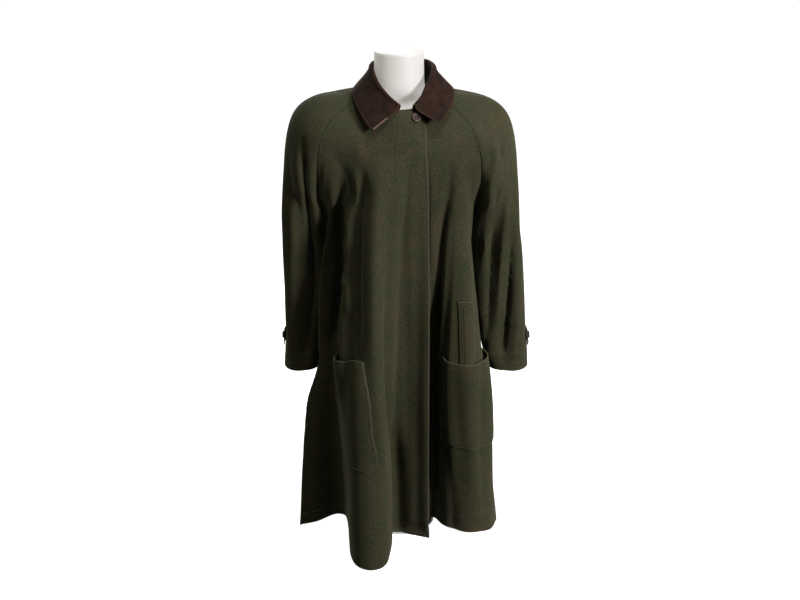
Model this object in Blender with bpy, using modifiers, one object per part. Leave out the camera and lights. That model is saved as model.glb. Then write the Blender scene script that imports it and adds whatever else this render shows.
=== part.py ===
"""Loden coat on a limbless dress form: a raglan swing coat with a fly front, a corduroy
collar, patch and welt pockets and buttoned cuff tabs, standing on the form's own foot.

Metres, +Z up, the coat faces -Y. Its wearer's left is at +X. The tables put the neck's
axis at x = y = 0. The finished part's origin is the centre of its foot's underside.
Each cloth panel is a wall between two grids of points. A grid's rows are smooth arcs from
one seam to the next, its folds push those arcs in and out, and the inner grid lies one
cloth thickness behind the outer one.
"""

import math
from collections import namedtuple

import bmesh
import bpy
import numpy as np
from mathutils import Matrix, Vector

# Cloth and seams
CLOTH = 0.0024          # thickness of the lined loden
SEAM = 0.0003           # space between two pieces at a seam
LYING = 0.0004          # space under a piece that lies on a panel

# Fronts
PLACKET_EDGE = 0.058    # how far the top front reaches past the centre line
UNDER_EDGE = 0.030      # how far the lower front reaches past it, out of sight
LAYER_DROP = 0.0042     # how far the lower front lies behind the top one
HEM_Z = 0.022

# Columns of cells across each front: placket to pocket, pocket, pocket to side seam
FRONT_COLUMNS = {"right": (10, 6), "left": (7, 3)}
POCKET_COLUMNS = 8
BACK_COLUMNS = 12       # on each side of the centre back
SLEEVE_COLUMNS = 8

# Dress form
NECK_R = 0.052
NECK_TOP_Z = 1.126
POLE_R = 0.0125
STAND_Y = 0.075         # where the stand's axis runs, before the part is moved onto it
FOOT_R = 0.082
FOOT_T = 0.010
FORM_BOTTOM_Z = 0.56

# Buttons
BUTTON_R = 0.0095
BUTTON_T = 0.0042
CUFF_BUTTON_R = 0.0080
NECK_BUTTON = (0.035, 1.003)    # its x and z

LODEN = ("loden", (0.030, 0.034, 0.018, 1.0), 0.92, 0.0)
CORDUROY = ("corduroy", (0.040, 0.017, 0.012, 1.0), 0.85, 0.0)
HORN = ("horn", (0.060, 0.032, 0.020, 1.0), 0.35, 0.0)
FORM_WHITE = ("form_white", (0.80, 0.79, 0.77, 1.0), 0.45, 0.0)
STEEL = ("steel", (0.55, 0.55, 0.56, 1.0), 0.35, 1.0)

# The skirt below the underarm, a row for each height: where the side seam runs, how far
# the centre front and centre back stand out, and how far the cloth swells in front of
# the side seam, where it hangs clear of the sleeve
Skirt = namedtuple("Skirt", "z side_x side_y front_y back_y lobe")
SKIRT = (
    Skirt(0.022, 0.2290, 0.030, -0.112, 0.222, 0.000),
    Skirt(0.100, 0.2200, 0.030, -0.114, 0.215, 0.008),
    Skirt(0.210, 0.2060, 0.030, -0.117, 0.203, 0.020),
    Skirt(0.330, 0.1900, 0.028, -0.121, 0.190, 0.030),
    Skirt(0.420, 0.1590, 0.020, -0.124, 0.180, 0.045),
    Skirt(0.500, 0.1490, 0.020, -0.126, 0.171, 0.040),
    Skirt(0.570, 0.1430, 0.020, -0.128, 0.163, 0.037),
    Skirt(0.650, 0.1400, 0.018, -0.130, 0.155, 0.029),
    Skirt(0.730, 0.1440, 0.014, -0.131, 0.147, 0.016),
    Skirt(0.790, 0.1625, 0.012, -0.131, 0.140, 0.000),
)

# The raglan seams from the underarm to the neck: the seam, the centre line's point on the
# same row, and the way in which the body's cloth and the sleeve's cloth cross the seam
Raglan = namedtuple("Raglan", "seam centre_y centre_z body_way sleeve_way")
RAGLAN_FRONT = (
    Raglan((0.1625, 0.012, 0.790), -0.131, 0.790, (0.00, 1.00, 0.00), (0.00, -1.00, 0.00)),
    Raglan((0.1680, -0.038, 0.820), -0.131, 0.812, (0.35, 0.93, 0.00), (0.10, -1.00, 0.00)),
    Raglan((0.1710, -0.074, 0.862), -0.130, 0.840, (0.80, 0.60, 0.00), (0.50, -0.85, 0.00)),
    Raglan((0.1690, -0.096, 0.912), -0.128, 0.873, (0.97, 0.25, 0.00), (0.97, -0.10, 0.00)),
    Raglan((0.1600, -0.100, 0.958), -0.124, 0.908, (1.00, 0.15, 0.06), (1.00, 0.10, 0.08)),
    Raglan((0.1460, -0.090, 0.986), -0.119, 0.938, (0.93, 0.30, 0.22), (0.93, 0.28, 0.24)),
    Raglan((0.1250, -0.071, 1.006), -0.113, 0.965, (0.80, 0.48, 0.36), (0.80, 0.50, 0.36)),
    Raglan((0.1010, -0.053, 1.021), -0.106, 0.994, (0.66, 0.64, 0.40), (0.64, 0.68, 0.40)),
    Raglan((0.0760, -0.042, 1.029), -0.096, 1.018, (0.58, 0.75, 0.20), (0.45, 0.85, 0.25)),
)
RAGLAN_BACK = (
    Raglan((0.1625, 0.012, 0.790), 0.140, 0.790, (0.00, -1.00, 0.00), (0.00, 1.00, 0.00)),
    Raglan((0.1690, 0.060, 0.818), 0.139, 0.815, (0.40, -0.90, 0.00), (0.10, 1.00, 0.00)),
    Raglan((0.1720, 0.092, 0.860), 0.138, 0.848, (0.85, -0.50, 0.00), (0.60, 0.80, 0.00)),
    Raglan((0.1680, 0.112, 0.912), 0.135, 0.888, (0.97, -0.20, 0.00), (0.97, 0.05, 0.00)),
    Raglan((0.1540, 0.118, 0.960), 0.130, 0.927, (1.00, -0.12, 0.04), (1.00, -0.08, 0.06)),
    Raglan((0.1340, 0.110, 0.993), 0.121, 0.963, (0.93, -0.25, 0.15), (0.93, -0.24, 0.18)),
    Raglan((0.1090, 0.090, 1.018), 0.108, 0.995, (0.85, -0.38, 0.25), (0.82, -0.42, 0.28)),
    Raglan((0.0840, 0.070, 1.034), 0.093, 1.024, (0.75, -0.52, 0.20), (0.68, -0.62, 0.22)),
    Raglan((0.0600, 0.055, 1.043), 0.078, 1.048, (0.78, -0.60, -0.06), (0.60, -0.78, -0.12)),
)
# The overarm seam on the same rows, and how strongly the sleeve's front and back arcs
# leave the raglan seam and arrive at it
Ridge = namedtuple("Ridge", "over leave arrive")
RIDGE = (
    Ridge((0.2540, 0.014, 0.790), 0.300, 0.300),
    Ridge((0.2520, 0.013, 0.830), 0.240, 0.270),
    Ridge((0.2490, 0.012, 0.882), 0.150, 0.240),
    Ridge((0.2430, 0.010, 0.936), 0.100, 0.200),
    Ridge((0.2290, 0.008, 0.986), 0.090, 0.170),
    Ridge((0.2030, 0.005, 1.016), 0.085, 0.130),
    Ridge((0.1670, 0.002, 1.0315), 0.080, 0.100),
    Ridge((0.1240, 0.000, 1.0370), 0.060, 0.070),
    Ridge((0.0820, 0.000, 1.0400), 0.045, 0.050),
)
# How far the overarm seam of the wearer's left sleeve lies further out than the right's
OVER_APART = 0.007

# The hanging sleeves below the underarm. The wearer's left one hangs further out.
Arm = namedtuple("Arm", "z inner_right outer_right inner_left outer_left y depth")
ARM = (
    Arm(0.790, 0.1640, 0.2520, 0.1640, 0.2580, 0.013, 0.075),
    Arm(0.740, 0.1560, 0.2530, 0.1560, 0.2630, 0.028, 0.076),
    Arm(0.680, 0.1520, 0.2550, 0.1550, 0.2715, 0.042, 0.074),
    Arm(0.600, 0.1550, 0.2550, 0.1630, 0.2785, 0.052, 0.070),
    Arm(0.540, 0.1600, 0.2560, 0.1680, 0.2825, 0.058, 0.066),
    Arm(0.488, 0.1670, 0.2560, 0.1780, 0.2860, 0.062, 0.061),
    Arm(0.456, 0.1720, 0.2575, 0.1860, 0.2895, 0.064, 0.060),
    Arm(0.404, 0.1800, 0.2610, 0.1990, 0.2930, 0.066, 0.060),
)
ARM_LEVELS = (0.760, 0.720, 0.680, 0.640, 0.600, 0.560, 0.520, 0.488, 0.456, 0.430, 0.404)
TAB_LEVELS = (0.488, 0.456)

# Patch pockets: width, height of the mouth, the pocket's centre as a share of the front's
# width at its bottom and at its mouth, and how far the mouth gapes and sags
Patch = namedtuple("Patch", "width mouth_z centre_low centre_top gape sag")
PATCHES = {
    "right": Patch(0.185, 0.495, 0.513, 0.637, 0.010, 0.014),
    "left": Patch(0.170, 0.467, 0.616, 0.677, 0.011, 0.006),
}
POCKET_BOTTOM_Z, WELT_TOP_Z = 0.250, 0.604
# Heights of the cloth's rows. The pockets' bottom and mouths and the welts' top are among them.
SKIRT_LEVELS = (
    HEM_Z, 0.058, 0.106, 0.154, 0.202, POCKET_BOTTOM_Z, 0.308, 0.366, 0.420,
    0.467, 0.495, 0.548, WELT_TOP_Z, 0.665, 0.728, 0.790,
)
RAGLAN_STEPS = 12
# How far the sleeve's underarm point lies out of the body's
UNDERARM_GAP = 0.0015

# The front hems as they hang, each from its free edge to the side seam, x > 0 on its own
# side. The wearer's right front falls in one deep fold with a valley beside it, and the
# left front falls back behind the placket. Both grow down from the chest.
HemPoint = namedtuple("HemPoint", "x y z")
FRONT_HEMS = {
    "front_right": (
        HemPoint(-0.0680, -0.096, 0.040),
        HemPoint(-0.0220, -0.089, 0.045),
        HemPoint(0.0110, -0.090, 0.047),
        HemPoint(0.0170, -0.135, 0.036),
        HemPoint(0.0250, -0.174, 0.023),
        HemPoint(0.0400, -0.193, 0.017),
        HemPoint(0.0610, -0.198, 0.015),
        HemPoint(0.0840, -0.190, 0.016),
        HemPoint(0.1010, -0.168, 0.019),
        HemPoint(0.1100, -0.132, 0.025),
        HemPoint(0.1140, -0.080, 0.045),
        HemPoint(0.1230, -0.030, 0.062),
        HemPoint(0.1480, -0.010, 0.056),
        HemPoint(0.1910, -0.020, 0.042),
        HemPoint(0.2300, -0.014, 0.030),
        HemPoint(0.2290, 0.030, 0.022),
    ),
    "front_left": (
        HemPoint(-0.0300, -0.060, 0.046),
        HemPoint(0.0200, -0.056, 0.046),
        HemPoint(0.0560, -0.036, 0.048),
        HemPoint(0.0780, -0.018, 0.052),
        HemPoint(0.0980, -0.050, 0.051),
        HemPoint(0.1260, -0.076, 0.050),
        HemPoint(0.1560, -0.084, 0.048),
        HemPoint(0.1860, -0.072, 0.044),
        HemPoint(0.2110, -0.040, 0.034),
        HemPoint(0.2290, 0.030, 0.022),
    ),
}
HEM_FOLDS_TOP_Z = 0.930

# How the deep fold's outer side is filled out, so that it ends in a folded edge: heights,
# the edge's place as a share of the front's width, how far the filling reaches along the
# cloth from there, and how far it lies out and ahead
FoldEdge = namedtuple("FoldEdge", "z share reach out ahead")
FOLD_EDGE = (
    FoldEdge(0.200, 0.560, 0.050, 0.000, 0.000),
    FoldEdge(0.360, 0.570, 0.050, 0.004, 0.004),
    FoldEdge(0.494, 0.575, 0.052, 0.020, 0.012),
    FoldEdge(0.600, 0.585, 0.052, 0.020, 0.012),
    FoldEdge(0.660, 0.600, 0.052, 0.016, 0.012),
    FoldEdge(0.728, 0.605, 0.052, 0.016, 0.012),
    FoldEdge(0.790, 0.630, 0.050, 0.009, 0.011),
    FoldEdge(0.850, 0.700, 0.050, 0.002, 0.008),
    FoldEdge(0.930, 0.720, 0.050, 0.000, 0.000),
)

# Lesser folds. The position is the distance from the centre line along the cloth before
# folding, at the hem and at the fold's top. Depth is out of the body, and it grows from
# nothing at top_z to its full size at full_z.
Fold = namedtuple("Fold", "at_hem at_top width_hem width_top top_z full_z depth")
FOLDS = {
    "front_right": (
        Fold(0.200, 0.165, 0.034, 0.024, 0.860, 0.600, 0.006),
    ),
    "front_left": (
        Fold(-0.145, 0.115, 0.050, 0.035, 0.930, 0.780, -0.010),
        Fold(0.150, 0.170, 0.040, 0.026, 0.880, 0.650, 0.007),
    ),
    "back": (
        Fold(0.000, 0.000, 0.040, 0.030, 0.760, 0.100, -0.014),
        Fold(0.085, 0.070, 0.042, 0.032, 0.800, 0.080, 0.026),
        Fold(0.160, 0.120, 0.034, 0.028, 0.700, 0.100, -0.022),
        Fold(0.230, 0.175, 0.036, 0.030, 0.500, 0.100, 0.018),
        Fold(-0.070, -0.055, 0.036, 0.030, 0.720, 0.080, 0.018),
        Fold(-0.142, -0.105, 0.038, 0.028, 0.780, 0.100, -0.020),
        Fold(-0.215, -0.160, 0.040, 0.032, 0.500, 0.100, 0.024),
    ),
}

# Folds of a sleeve half: across it (0 at the body's side, 1 at the overarm seam) at the
# fold's top and bottom, half its width across, its top and bottom height, and its depth
Crease = namedtuple("Crease", "across_top across_low width top_z low_z depth")
SLEEVE_CREASES = {
    "sleeve_front": (
        Crease(0.55, 0.46, 0.13, 0.940, 0.470, -0.012),
        Crease(0.78, 0.74, 0.10, 0.900, 0.520, 0.006),
        Crease(0.26, 0.22, 0.10, 0.860, 0.560, 0.006),
    ),
    "sleeve_back": (
        Crease(0.52, 0.58, 0.12, 0.900, 0.500, -0.009),
        Crease(0.28, 0.30, 0.10, 0.840, 0.480, 0.005),
    ),
}

# The collar from its front end to the centre back: how far along the neckline, then its
# roll line's top, the roll's radius and its outer edge. The wearer's right leaf lies
# nearer the centre line than the left one.
CollarRow = namedtuple("CollarRow", "along roll roll_r edge")
COLLAR_RIGHT = (
    CollarRow(0.000, (-0.0010, -0.0985, 1.0270), 0.0024, (0.0530, -0.1230, 0.9800)),
    CollarRow(0.160, (0.0240, -0.0830, 1.0450), 0.0030, (0.0690, -0.1070, 0.9970)),
    CollarRow(0.340, (0.0470, -0.0490, 1.0690), 0.0036, (0.0870, -0.0730, 1.0220)),
    CollarRow(0.540, (0.0580, -0.0010, 1.0900), 0.0040, (0.0985, -0.0130, 1.0400)),
    CollarRow(0.760, (0.0480, 0.0480, 1.0930), 0.0042, (0.0860, 0.0810, 1.0420)),
    CollarRow(1.000, (0.0000, 0.0700, 1.0950), 0.0042, (0.0000, 0.1140, 1.0260)),
)
COLLAR_LEFT = (
    CollarRow(0.000, (0.0310, -0.0985, 1.0270), 0.0024, (0.0820, -0.1210, 0.9970)),
    CollarRow(0.160, (0.0470, -0.0830, 1.0420), 0.0030, (0.0980, -0.0970, 1.0100)),
    CollarRow(0.340, (0.0600, -0.0500, 1.0640), 0.0036, (0.1110, -0.0600, 1.0280)),
    CollarRow(0.540, (0.0730, -0.0010, 1.0870), 0.0042, (0.1155, -0.0080, 1.0430)),
    CollarRow(0.760, (0.0600, 0.0480, 1.0920), 0.0042, (0.0960, 0.0790, 1.0430)),
    CollarRow(1.000, (0.0000, 0.0700, 1.0950), 0.0042, (0.0000, 0.1140, 1.0260)),
)
COLLAR_COLUMNS = 16     # on each side of the centre back
STAND_CELLS, ROLL_CELLS, FALL_CELLS = 2, 4, 4
STAND_GAP = 0.0006      # under the stand, along the neckline

# Dress form's rings: height, half width, depth in front of and behind the ring's axis
Ring = namedtuple("Ring", "z half_x front_y back_y power")
FORM_RINGS = (
    Ring(0.560, 0.102, -0.050, 0.092, 2.2),
    Ring(0.565, 0.108, -0.056, 0.098, 2.2),
    Ring(0.620, 0.112, -0.060, 0.096, 2.2),
    Ring(0.690, 0.108, -0.062, 0.086, 2.2),
    Ring(0.770, 0.124, -0.078, 0.088, 2.2),
    Ring(0.850, 0.144, -0.094, 0.102, 2.3),
    Ring(0.910, 0.154, -0.094, 0.106, 2.4),
    Ring(0.950, 0.159, -0.088, 0.100, 2.4),
    Ring(0.980, 0.163, -0.074, 0.090, 2.4),
    Ring(1.004, 0.160, -0.058, 0.072, 2.3),
    Ring(1.0200, 0.148, -0.046, 0.056, 2.1),
    Ring(1.0285, 0.122, -0.042, 0.048, 2.0),
    Ring(1.0333, 0.090, -0.044, 0.049, 2.0),
    Ring(1.0395, 0.066, -0.049, 0.052, 2.0),
    Ring(1.056, 0.0535, -0.0525, 0.0530, 2.0),
    Ring(1.108, 0.052, -0.0520, 0.0520, 2.0),
    Ring(1.122, 0.052, -0.0520, 0.0520, 2.0),
    Ring(1.126, 0.049, -0.0490, 0.0490, 2.0),
)
FORM_SEGMENTS = 28


def table_curve(xs, ys, x):
    """A smooth curve through a table's rows, with no overshoot between them."""
    xs, ys = np.asarray(xs, float), np.asarray(ys, float)
    step = np.diff(xs)
    slope = np.diff(ys) / step
    tangent = np.zeros(len(xs))
    tangent[0], tangent[-1] = slope[0], slope[-1]
    same_way = slope[:-1] * slope[1:] > 0
    mean = 2 * slope[:-1] * slope[1:] / np.where(same_way, slope[:-1] + slope[1:], 1.0)
    tangent[1:-1] = np.where(same_way, mean, 0.0)
    x = np.clip(x, xs[0], xs[-1])
    i = np.clip(np.searchsorted(xs, x) - 1, 0, len(step) - 1)
    t = (x - xs[i]) / step[i]
    rise = (3 - 2 * t) * t * t
    return (
        ys[i] * (1 - rise)
        + ys[i + 1] * rise
        + step[i] * t * (1 - t) * ((1 - t) * tangent[i] - t * tangent[i + 1])
    )


def row_at(rows, key, value):
    """A table's row at any value of its column key, each other column on its own curve."""
    keys = [getattr(row, key) for row in rows]
    order = 1 if keys[0] < keys[-1] else -1
    found = {}
    for name in rows[0]._fields:
        column = [getattr(row, name) for row in rows][::order]
        found[name] = float(table_curve(keys[::order], column, value))
    return type(rows[0])(**found)


def through(points, t):
    """A point on the curve through these points, t counted in points from the first."""
    points = np.asarray(points, float)
    if points.ndim == 1:
        return float(table_curve(range(len(points)), points, t))
    return np.array([table_curve(range(len(points)), p, t) for p in points.T])


def unit(vectors):
    vectors = np.asarray(vectors, float)
    return vectors / np.maximum(np.linalg.norm(vectors, axis=-1, keepdims=True), 1e-12)


def smooth_step(t):
    t = np.clip(t, 0.0, 1.0)
    return t * t * (3 - 2 * t)


def arc(start, leave, end, arrive, v):
    """The cubic from start, leaving along one vector, to end, arriving along another."""
    v = np.asarray(v, float)[:, None]
    return (
        (2 * v**3 - 3 * v**2 + 1) * start
        + (v**3 - 2 * v**2 + v) * leave
        + (3 * v**2 - 2 * v**3) * end
        + (v**3 - v**2) * arrive
    )


def lengths(points):
    """Length along a line of points, from its first."""
    steps = np.linalg.norm(np.diff(points, axis=0), axis=1)
    return np.concatenate([[0.0], np.cumsum(steps)])


def resampled(points, shares):
    """Points of a line at these shares of its length."""
    along = lengths(points)
    wanted = np.asarray(shares) * along[-1]
    return np.column_stack([np.interp(wanted, along, points[:, i]) for i in range(3)])


def skirt_ends(z, side):
    """Centre point, side point and arriving vector of a skirt row. Side is front or back."""
    row = row_at(SKIRT, "z", z)
    centre_y = row.front_y if side == "front" else row.back_y
    centre = np.array([0.0, centre_y, z])
    end = np.array([row.side_x, row.side_y, z])
    pull = 1.66 * abs(row.side_y - centre_y)
    swell = 6.75 * row.lobe * (1.0 if side == "front" else 0.35)
    arrive = np.array([-swell, math.copysign(pull, -centre_y), 0.0])
    leave = np.array([1.66 * row.side_x, 0.0, 0.0])
    return centre, leave, end, arrive


def raglan_ends(t, side):
    """The same for a row that ends on the raglan seam, t rows above the underarm."""
    rows = RAGLAN_FRONT if side == "front" else RAGLAN_BACK
    end = through([row.seam for row in rows], t)
    centre_y = through([row.centre_y for row in rows], t)
    centre_z = through([row.centre_z for row in rows], t)
    way = unit(through([row.body_way for row in rows], t))
    centre = np.array([0.0, centre_y, centre_z])
    chord = np.linalg.norm(end - centre)
    tightness = 1.17 - 0.12 * smooth_step(t / 3)
    leave = np.array([tightness * chord, 0.0, 0.0])
    if t < 1:
        skirt = skirt_ends(SKIRT[-1].z, side)
        leave = leave * t + skirt[1] * (1 - t)
        return centre, leave, end, way * tightness * chord * t + skirt[3] * (1 - t)
    return centre, leave, end, way * tightness * chord


def fold_push(folds, along, z):
    """How far the folds push a row's points out, by their distance along the cloth."""
    push = np.zeros(len(along))
    for fold in folds:
        down = np.clip((fold.top_z - z) / (fold.top_z - HEM_Z), 0.0, 1.0)
        centre = fold.at_top + (fold.at_hem - fold.at_top) * down
        width = fold.width_top + (fold.width_hem - fold.width_top) * down
        grown = smooth_step((fold.top_z - z) / (fold.top_z - fold.full_z))
        push += fold.depth * grown * np.exp(-np.abs((along - centre) / width) ** 2.6)
    return push


def body_row(level, panel):
    """A dense row of a panel with x > 0 on its own side, folds and hem included, and the
    distance of each point from the centre line. Level is a height, or (t,) on the raglan."""
    side = "back" if panel == "back" else "front"
    on_raglan = isinstance(level, tuple)
    ends = raglan_ends(level[0], side) if on_raglan else skirt_ends(level, side)
    dense = np.linspace(0.0, 1.0, 161)
    half = arc(*ends, dense)
    base = np.concatenate([half[:0:-1] * (-1, 1, 1), half])
    along = lengths(base)
    along = along - along[len(half) - 1]
    way = unit(np.gradient(base, axis=0))
    turn = 1.0 if side == "front" else -1.0
    out = unit(np.column_stack([way[:, 1] * turn, -way[:, 0] * turn, np.zeros(len(way))]))
    push = fold_push(FOLDS[panel], along, base[:, 2].mean())
    if panel == "front_left":
        last = min(0.125, along[-1] - 0.006)
        push = push - LAYER_DROP * (1 - smooth_step((along - 0.064) / (last - 0.064)))
    return base + out * push[:, None], along


def body_levels():
    """Every row of a body panel: skirt heights, then steps up the raglan seam."""
    steps = np.linspace(0.0, len(RIDGE) - 1, RAGLAN_STEPS + 1)[1:]
    return list(SKIRT_LEVELS) + [(float(t),) for t in steps]


def smooth_line(points, count):
    """Evenly spaced points on a smooth curve through these ones."""
    points = np.asarray(points, float)
    along = lengths(points)
    dense = np.linspace(0.0, along[-1], 12 * len(points))
    curve = np.column_stack([table_curve(along, points[:, i], dense) for i in range(3)])
    return resampled(curve, np.linspace(0.0, 1.0, count))


def front_row(level, panel, edge):
    """A dense row of a front from its free edge to the side or raglan seam. The hem's own
    line pulls it out of its unfolded course, less and less from the hem upward."""
    count = 241
    spans = []
    for height in (level, HEM_Z):
        row, along = body_row(height, panel)
        start = np.array([np.interp(edge, along, row[:, i]) for i in range(3)])
        spans.append(resampled(np.vstack([start, row[along > edge]]), np.linspace(0, 1, count)))
    row, unfolded_hem = spans
    pull = smooth_line(FRONT_HEMS[panel], count) - unfolded_hem
    down = (HEM_FOLDS_TOP_Z - row[:, 2]) / (HEM_FOLDS_TOP_Z - HEM_Z)
    grown = np.clip(down, 0.0, 1.0)[:, None] ** (0.45, 0.7, 3.0)
    row = row + pull * grown
    return row + fold_edge_push(row[:, 2]) if panel == "front_right" else row


def fold_edge_push(heights):
    """How far the deep fold's outer side is moved, at evenly spaced points of a row."""
    zs = [edge.z for edge in FOLD_EDGE]
    share, reach, out, ahead = (
        np.interp(heights, zs, [getattr(edge, name) for edge in FOLD_EDGE])
        for name in ("share", "reach", "out", "ahead")
    )
    near = np.exp(-(((np.linspace(0.0, 1.0, len(heights)) - share) / reach) ** 2))
    return np.column_stack([out * near, -ahead * near, np.zeros(len(heights))])


def front_shares(row, cells, width, centre):
    """Shares of a front's width at its grid's columns, with the pocket's edges among them."""
    start_cells, end_cells = cells
    half = width / 2 / lengths(row)[-1]
    first, last = centre - half, centre + half
    before = np.linspace(0.0, first, start_cells + 1)[:-1]
    pocket = np.linspace(first, last, POCKET_COLUMNS + 1)
    after = np.linspace(last, 1.0, end_cells + 1)[1:]
    return np.concatenate([before, pocket, after])


def front_grid(panel, edge, cells, patch):
    """Outer points of a front. Above the pocket each column keeps its share of the width."""
    rows = []
    for level in body_levels():
        row = front_row(level, panel, edge)
        if not isinstance(level, tuple) and level <= patch.mouth_z:
            up = np.clip((level - POCKET_BOTTOM_Z) / (patch.mouth_z - POCKET_BOTTOM_Z), 0, 1)
            centre = patch.centre_low + (patch.centre_top - patch.centre_low) * up
            shares = front_shares(row, cells, patch.width, centre)
        rows.append(resampled(row, shares))
    return np.array(rows)


def back_grid():
    """Outer points of the whole back, from the side seam at +X to the one at -X. A seam
    down its middle makes two panels of it."""
    shares = np.linspace(1.0, 0.0, 2 * BACK_COLUMNS + 1)
    return np.array([resampled(body_row(level, "back")[0], shares) for level in body_levels()])


def sleeve_ends(level, half, side):
    """Seam point, leaving vector, overarm point and arriving vector of a sleeve's row."""
    front = half == "sleeve_front"
    away = -1.0 if front else 1.0
    if isinstance(level, tuple):
        t = level[0]
        rows = RAGLAN_FRONT if front else RAGLAN_BACK
        seam = through([row.seam for row in rows], t)
        way = unit(through([row.sleeve_way for row in rows], t))
        over = through([row.over for row in RIDGE], t)
        apart = OVER_APART / 2 * (1 - smooth_step(t / (len(RIDGE) - 1)) ** 2)
        over = over + (apart if side == "left" else -apart, 0, 0)
        seam = seam + (UNDERARM_GAP * (1 - smooth_step(t / 4)), 0, 0)
        leave = way * through([row.leave for row in RIDGE], t)
        arrive = np.array([0.0, -away, 0.0]) * through([row.arrive for row in RIDGE], t)
        return seam, leave, over, arrive
    row = row_at(ARM, "z", level)
    inner, outer = (
        (row.inner_right, row.outer_right) if side == "right" else (row.inner_left, row.outer_left)
    )
    bulge = np.array([0.0, 4 * row.depth * away, 0.0])
    return np.array([inner, row.y, level]), bulge, np.array([outer, row.y, level]), -bulge


def sleeve_levels():
    """Rows of a sleeve, from the neck down the raglan seam and on to the cuff."""
    steps = np.linspace(len(RIDGE) - 1, 0.0, RAGLAN_STEPS + 1)
    return [(float(t),) for t in steps] + list(ARM_LEVELS)


def sleeve_grid(half, side):
    """Outer points of a sleeve half with x > 0, from the body's side to the overarm seam."""
    shares = np.linspace(0.0, 1.0, SLEEVE_COLUMNS + 1)
    rows = [
        resampled(arc(*sleeve_ends(level, half, side), np.linspace(0, 1, 81)), shares)
        for level in sleeve_levels()
    ]
    grid = np.array(rows)
    out = grid_normals(grid, grid_faces_out(grid, half))
    for crease in SLEEVE_CREASES[half]:
        down = (crease.top_z - grid[..., 2]) / (crease.top_z - crease.low_z)
        inside = np.clip(down, 0.0, 1.0)
        centre = crease.across_top + (crease.across_low - crease.across_top) * inside
        across = np.exp(-(((shares[None, :] - centre) / crease.width) ** 2))
        fades = smooth_step(down * 4) * smooth_step((1.25 - down) * 4)
        held = np.minimum(1.0, 5 * np.minimum(shares, 1 - shares))[None, :]
        grid = grid + out * (crease.depth * across * fades * held)[..., None]
    return grid


def grid_faces_out(grid, kind):
    """+1 or -1, to make this grid's normals point out of the garment."""
    row, column = len(grid) - 3, grid.shape[1] // 2
    normal = grid_normals(grid, 1.0)[row, column]
    away = {"sleeve_front": (0, -1, 0), "sleeve_back": (0, 1, 0)}.get(kind, None)
    if away is None:
        row = len(grid) // 3
        normal = grid_normals(grid, 1.0)[row, column]
        away = (0, 1, 0) if kind == "back" else (0, -1, 0)
    return 1.0 if np.dot(normal, away) > 0 else -1.0


def grid_normals(grid, sign):
    """Unit normals at a grid's points."""
    return unit(np.cross(np.gradient(grid, axis=0), np.gradient(grid, axis=1))) * sign


def share_normals(first, first_at, second, second_at):
    """Gives two panels one normal along their seam where the cloth runs on smoothly."""
    a, b = first[first_at], second[second_at]
    smooth = (a * b).sum(-1, keepdims=True) > 0.0
    mean = unit(a + b)
    first[first_at] = np.where(smooth, mean, a)
    second[second_at] = np.where(smooth, mean, b)


def drawn_in(grid, columns):
    """The grid with these edge columns moved half a seam's space into the panel."""
    grid = grid.copy()
    for column, neighbour in columns:
        toward = unit(grid[:, neighbour] - grid[:, column])
        grid[:, column] = grid[:, column] + toward * (SEAM / 2)
    return grid


def material(finish):
    name, colour, roughness, metallic = finish
    found = bpy.data.materials.get(name)
    if found:
        return found
    made = bpy.data.materials.new(name)
    made.use_nodes = True
    shader = made.node_tree.nodes["Principled BSDF"]
    shader.inputs["Base Color"].default_value = colour
    shader.inputs["Roughness"].default_value = roughness
    shader.inputs["Metallic"].default_value = metallic
    made.diffuse_color = colour
    return made


def add_object(name, mesh, finish):
    obj = bpy.data.objects.new(name, mesh)
    mesh.materials.append(material(finish))
    PARTS.objects.link(obj)
    return obj


def wall(name, outer, inner, finish):
    """A closed wall between two grids of points, the garment's cloth."""
    rows, columns = outer.shape[:2]
    made = bmesh.new()
    layers = [
        [[made.verts.new(layer[i, j]) for j in range(columns)] for i in range(rows)]
        for layer in (outer, inner)
    ]
    for i in range(rows - 1):
        for j in range(columns - 1):
            for layer in layers:
                made.faces.new(
                    (layer[i][j], layer[i + 1][j], layer[i + 1][j + 1], layer[i][j + 1])
                )
    top, under = layers
    border = [(i, 0) for i in range(rows)]
    border += [(rows - 1, j) for j in range(1, columns)]
    border += [(i, columns - 1) for i in range(rows - 2, -1, -1)]
    border += [(0, j) for j in range(columns - 2, 0, -1)]
    for (i, j), (k, m) in zip(border, border[1:] + border[:1]):
        made.faces.new((top[i][j], under[i][j], under[k][m], top[k][m]))
    bmesh.ops.recalc_face_normals(made, faces=made.faces)
    mesh = bpy.data.meshes.new(name)
    made.to_mesh(mesh)
    made.free()
    mesh.shade_smooth()
    mesh.set_sharp_from_angle(angle=math.radians(50))
    return add_object(name, mesh, finish)


def mirrored(grid):
    return grid * (-1, 1, 1)


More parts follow.
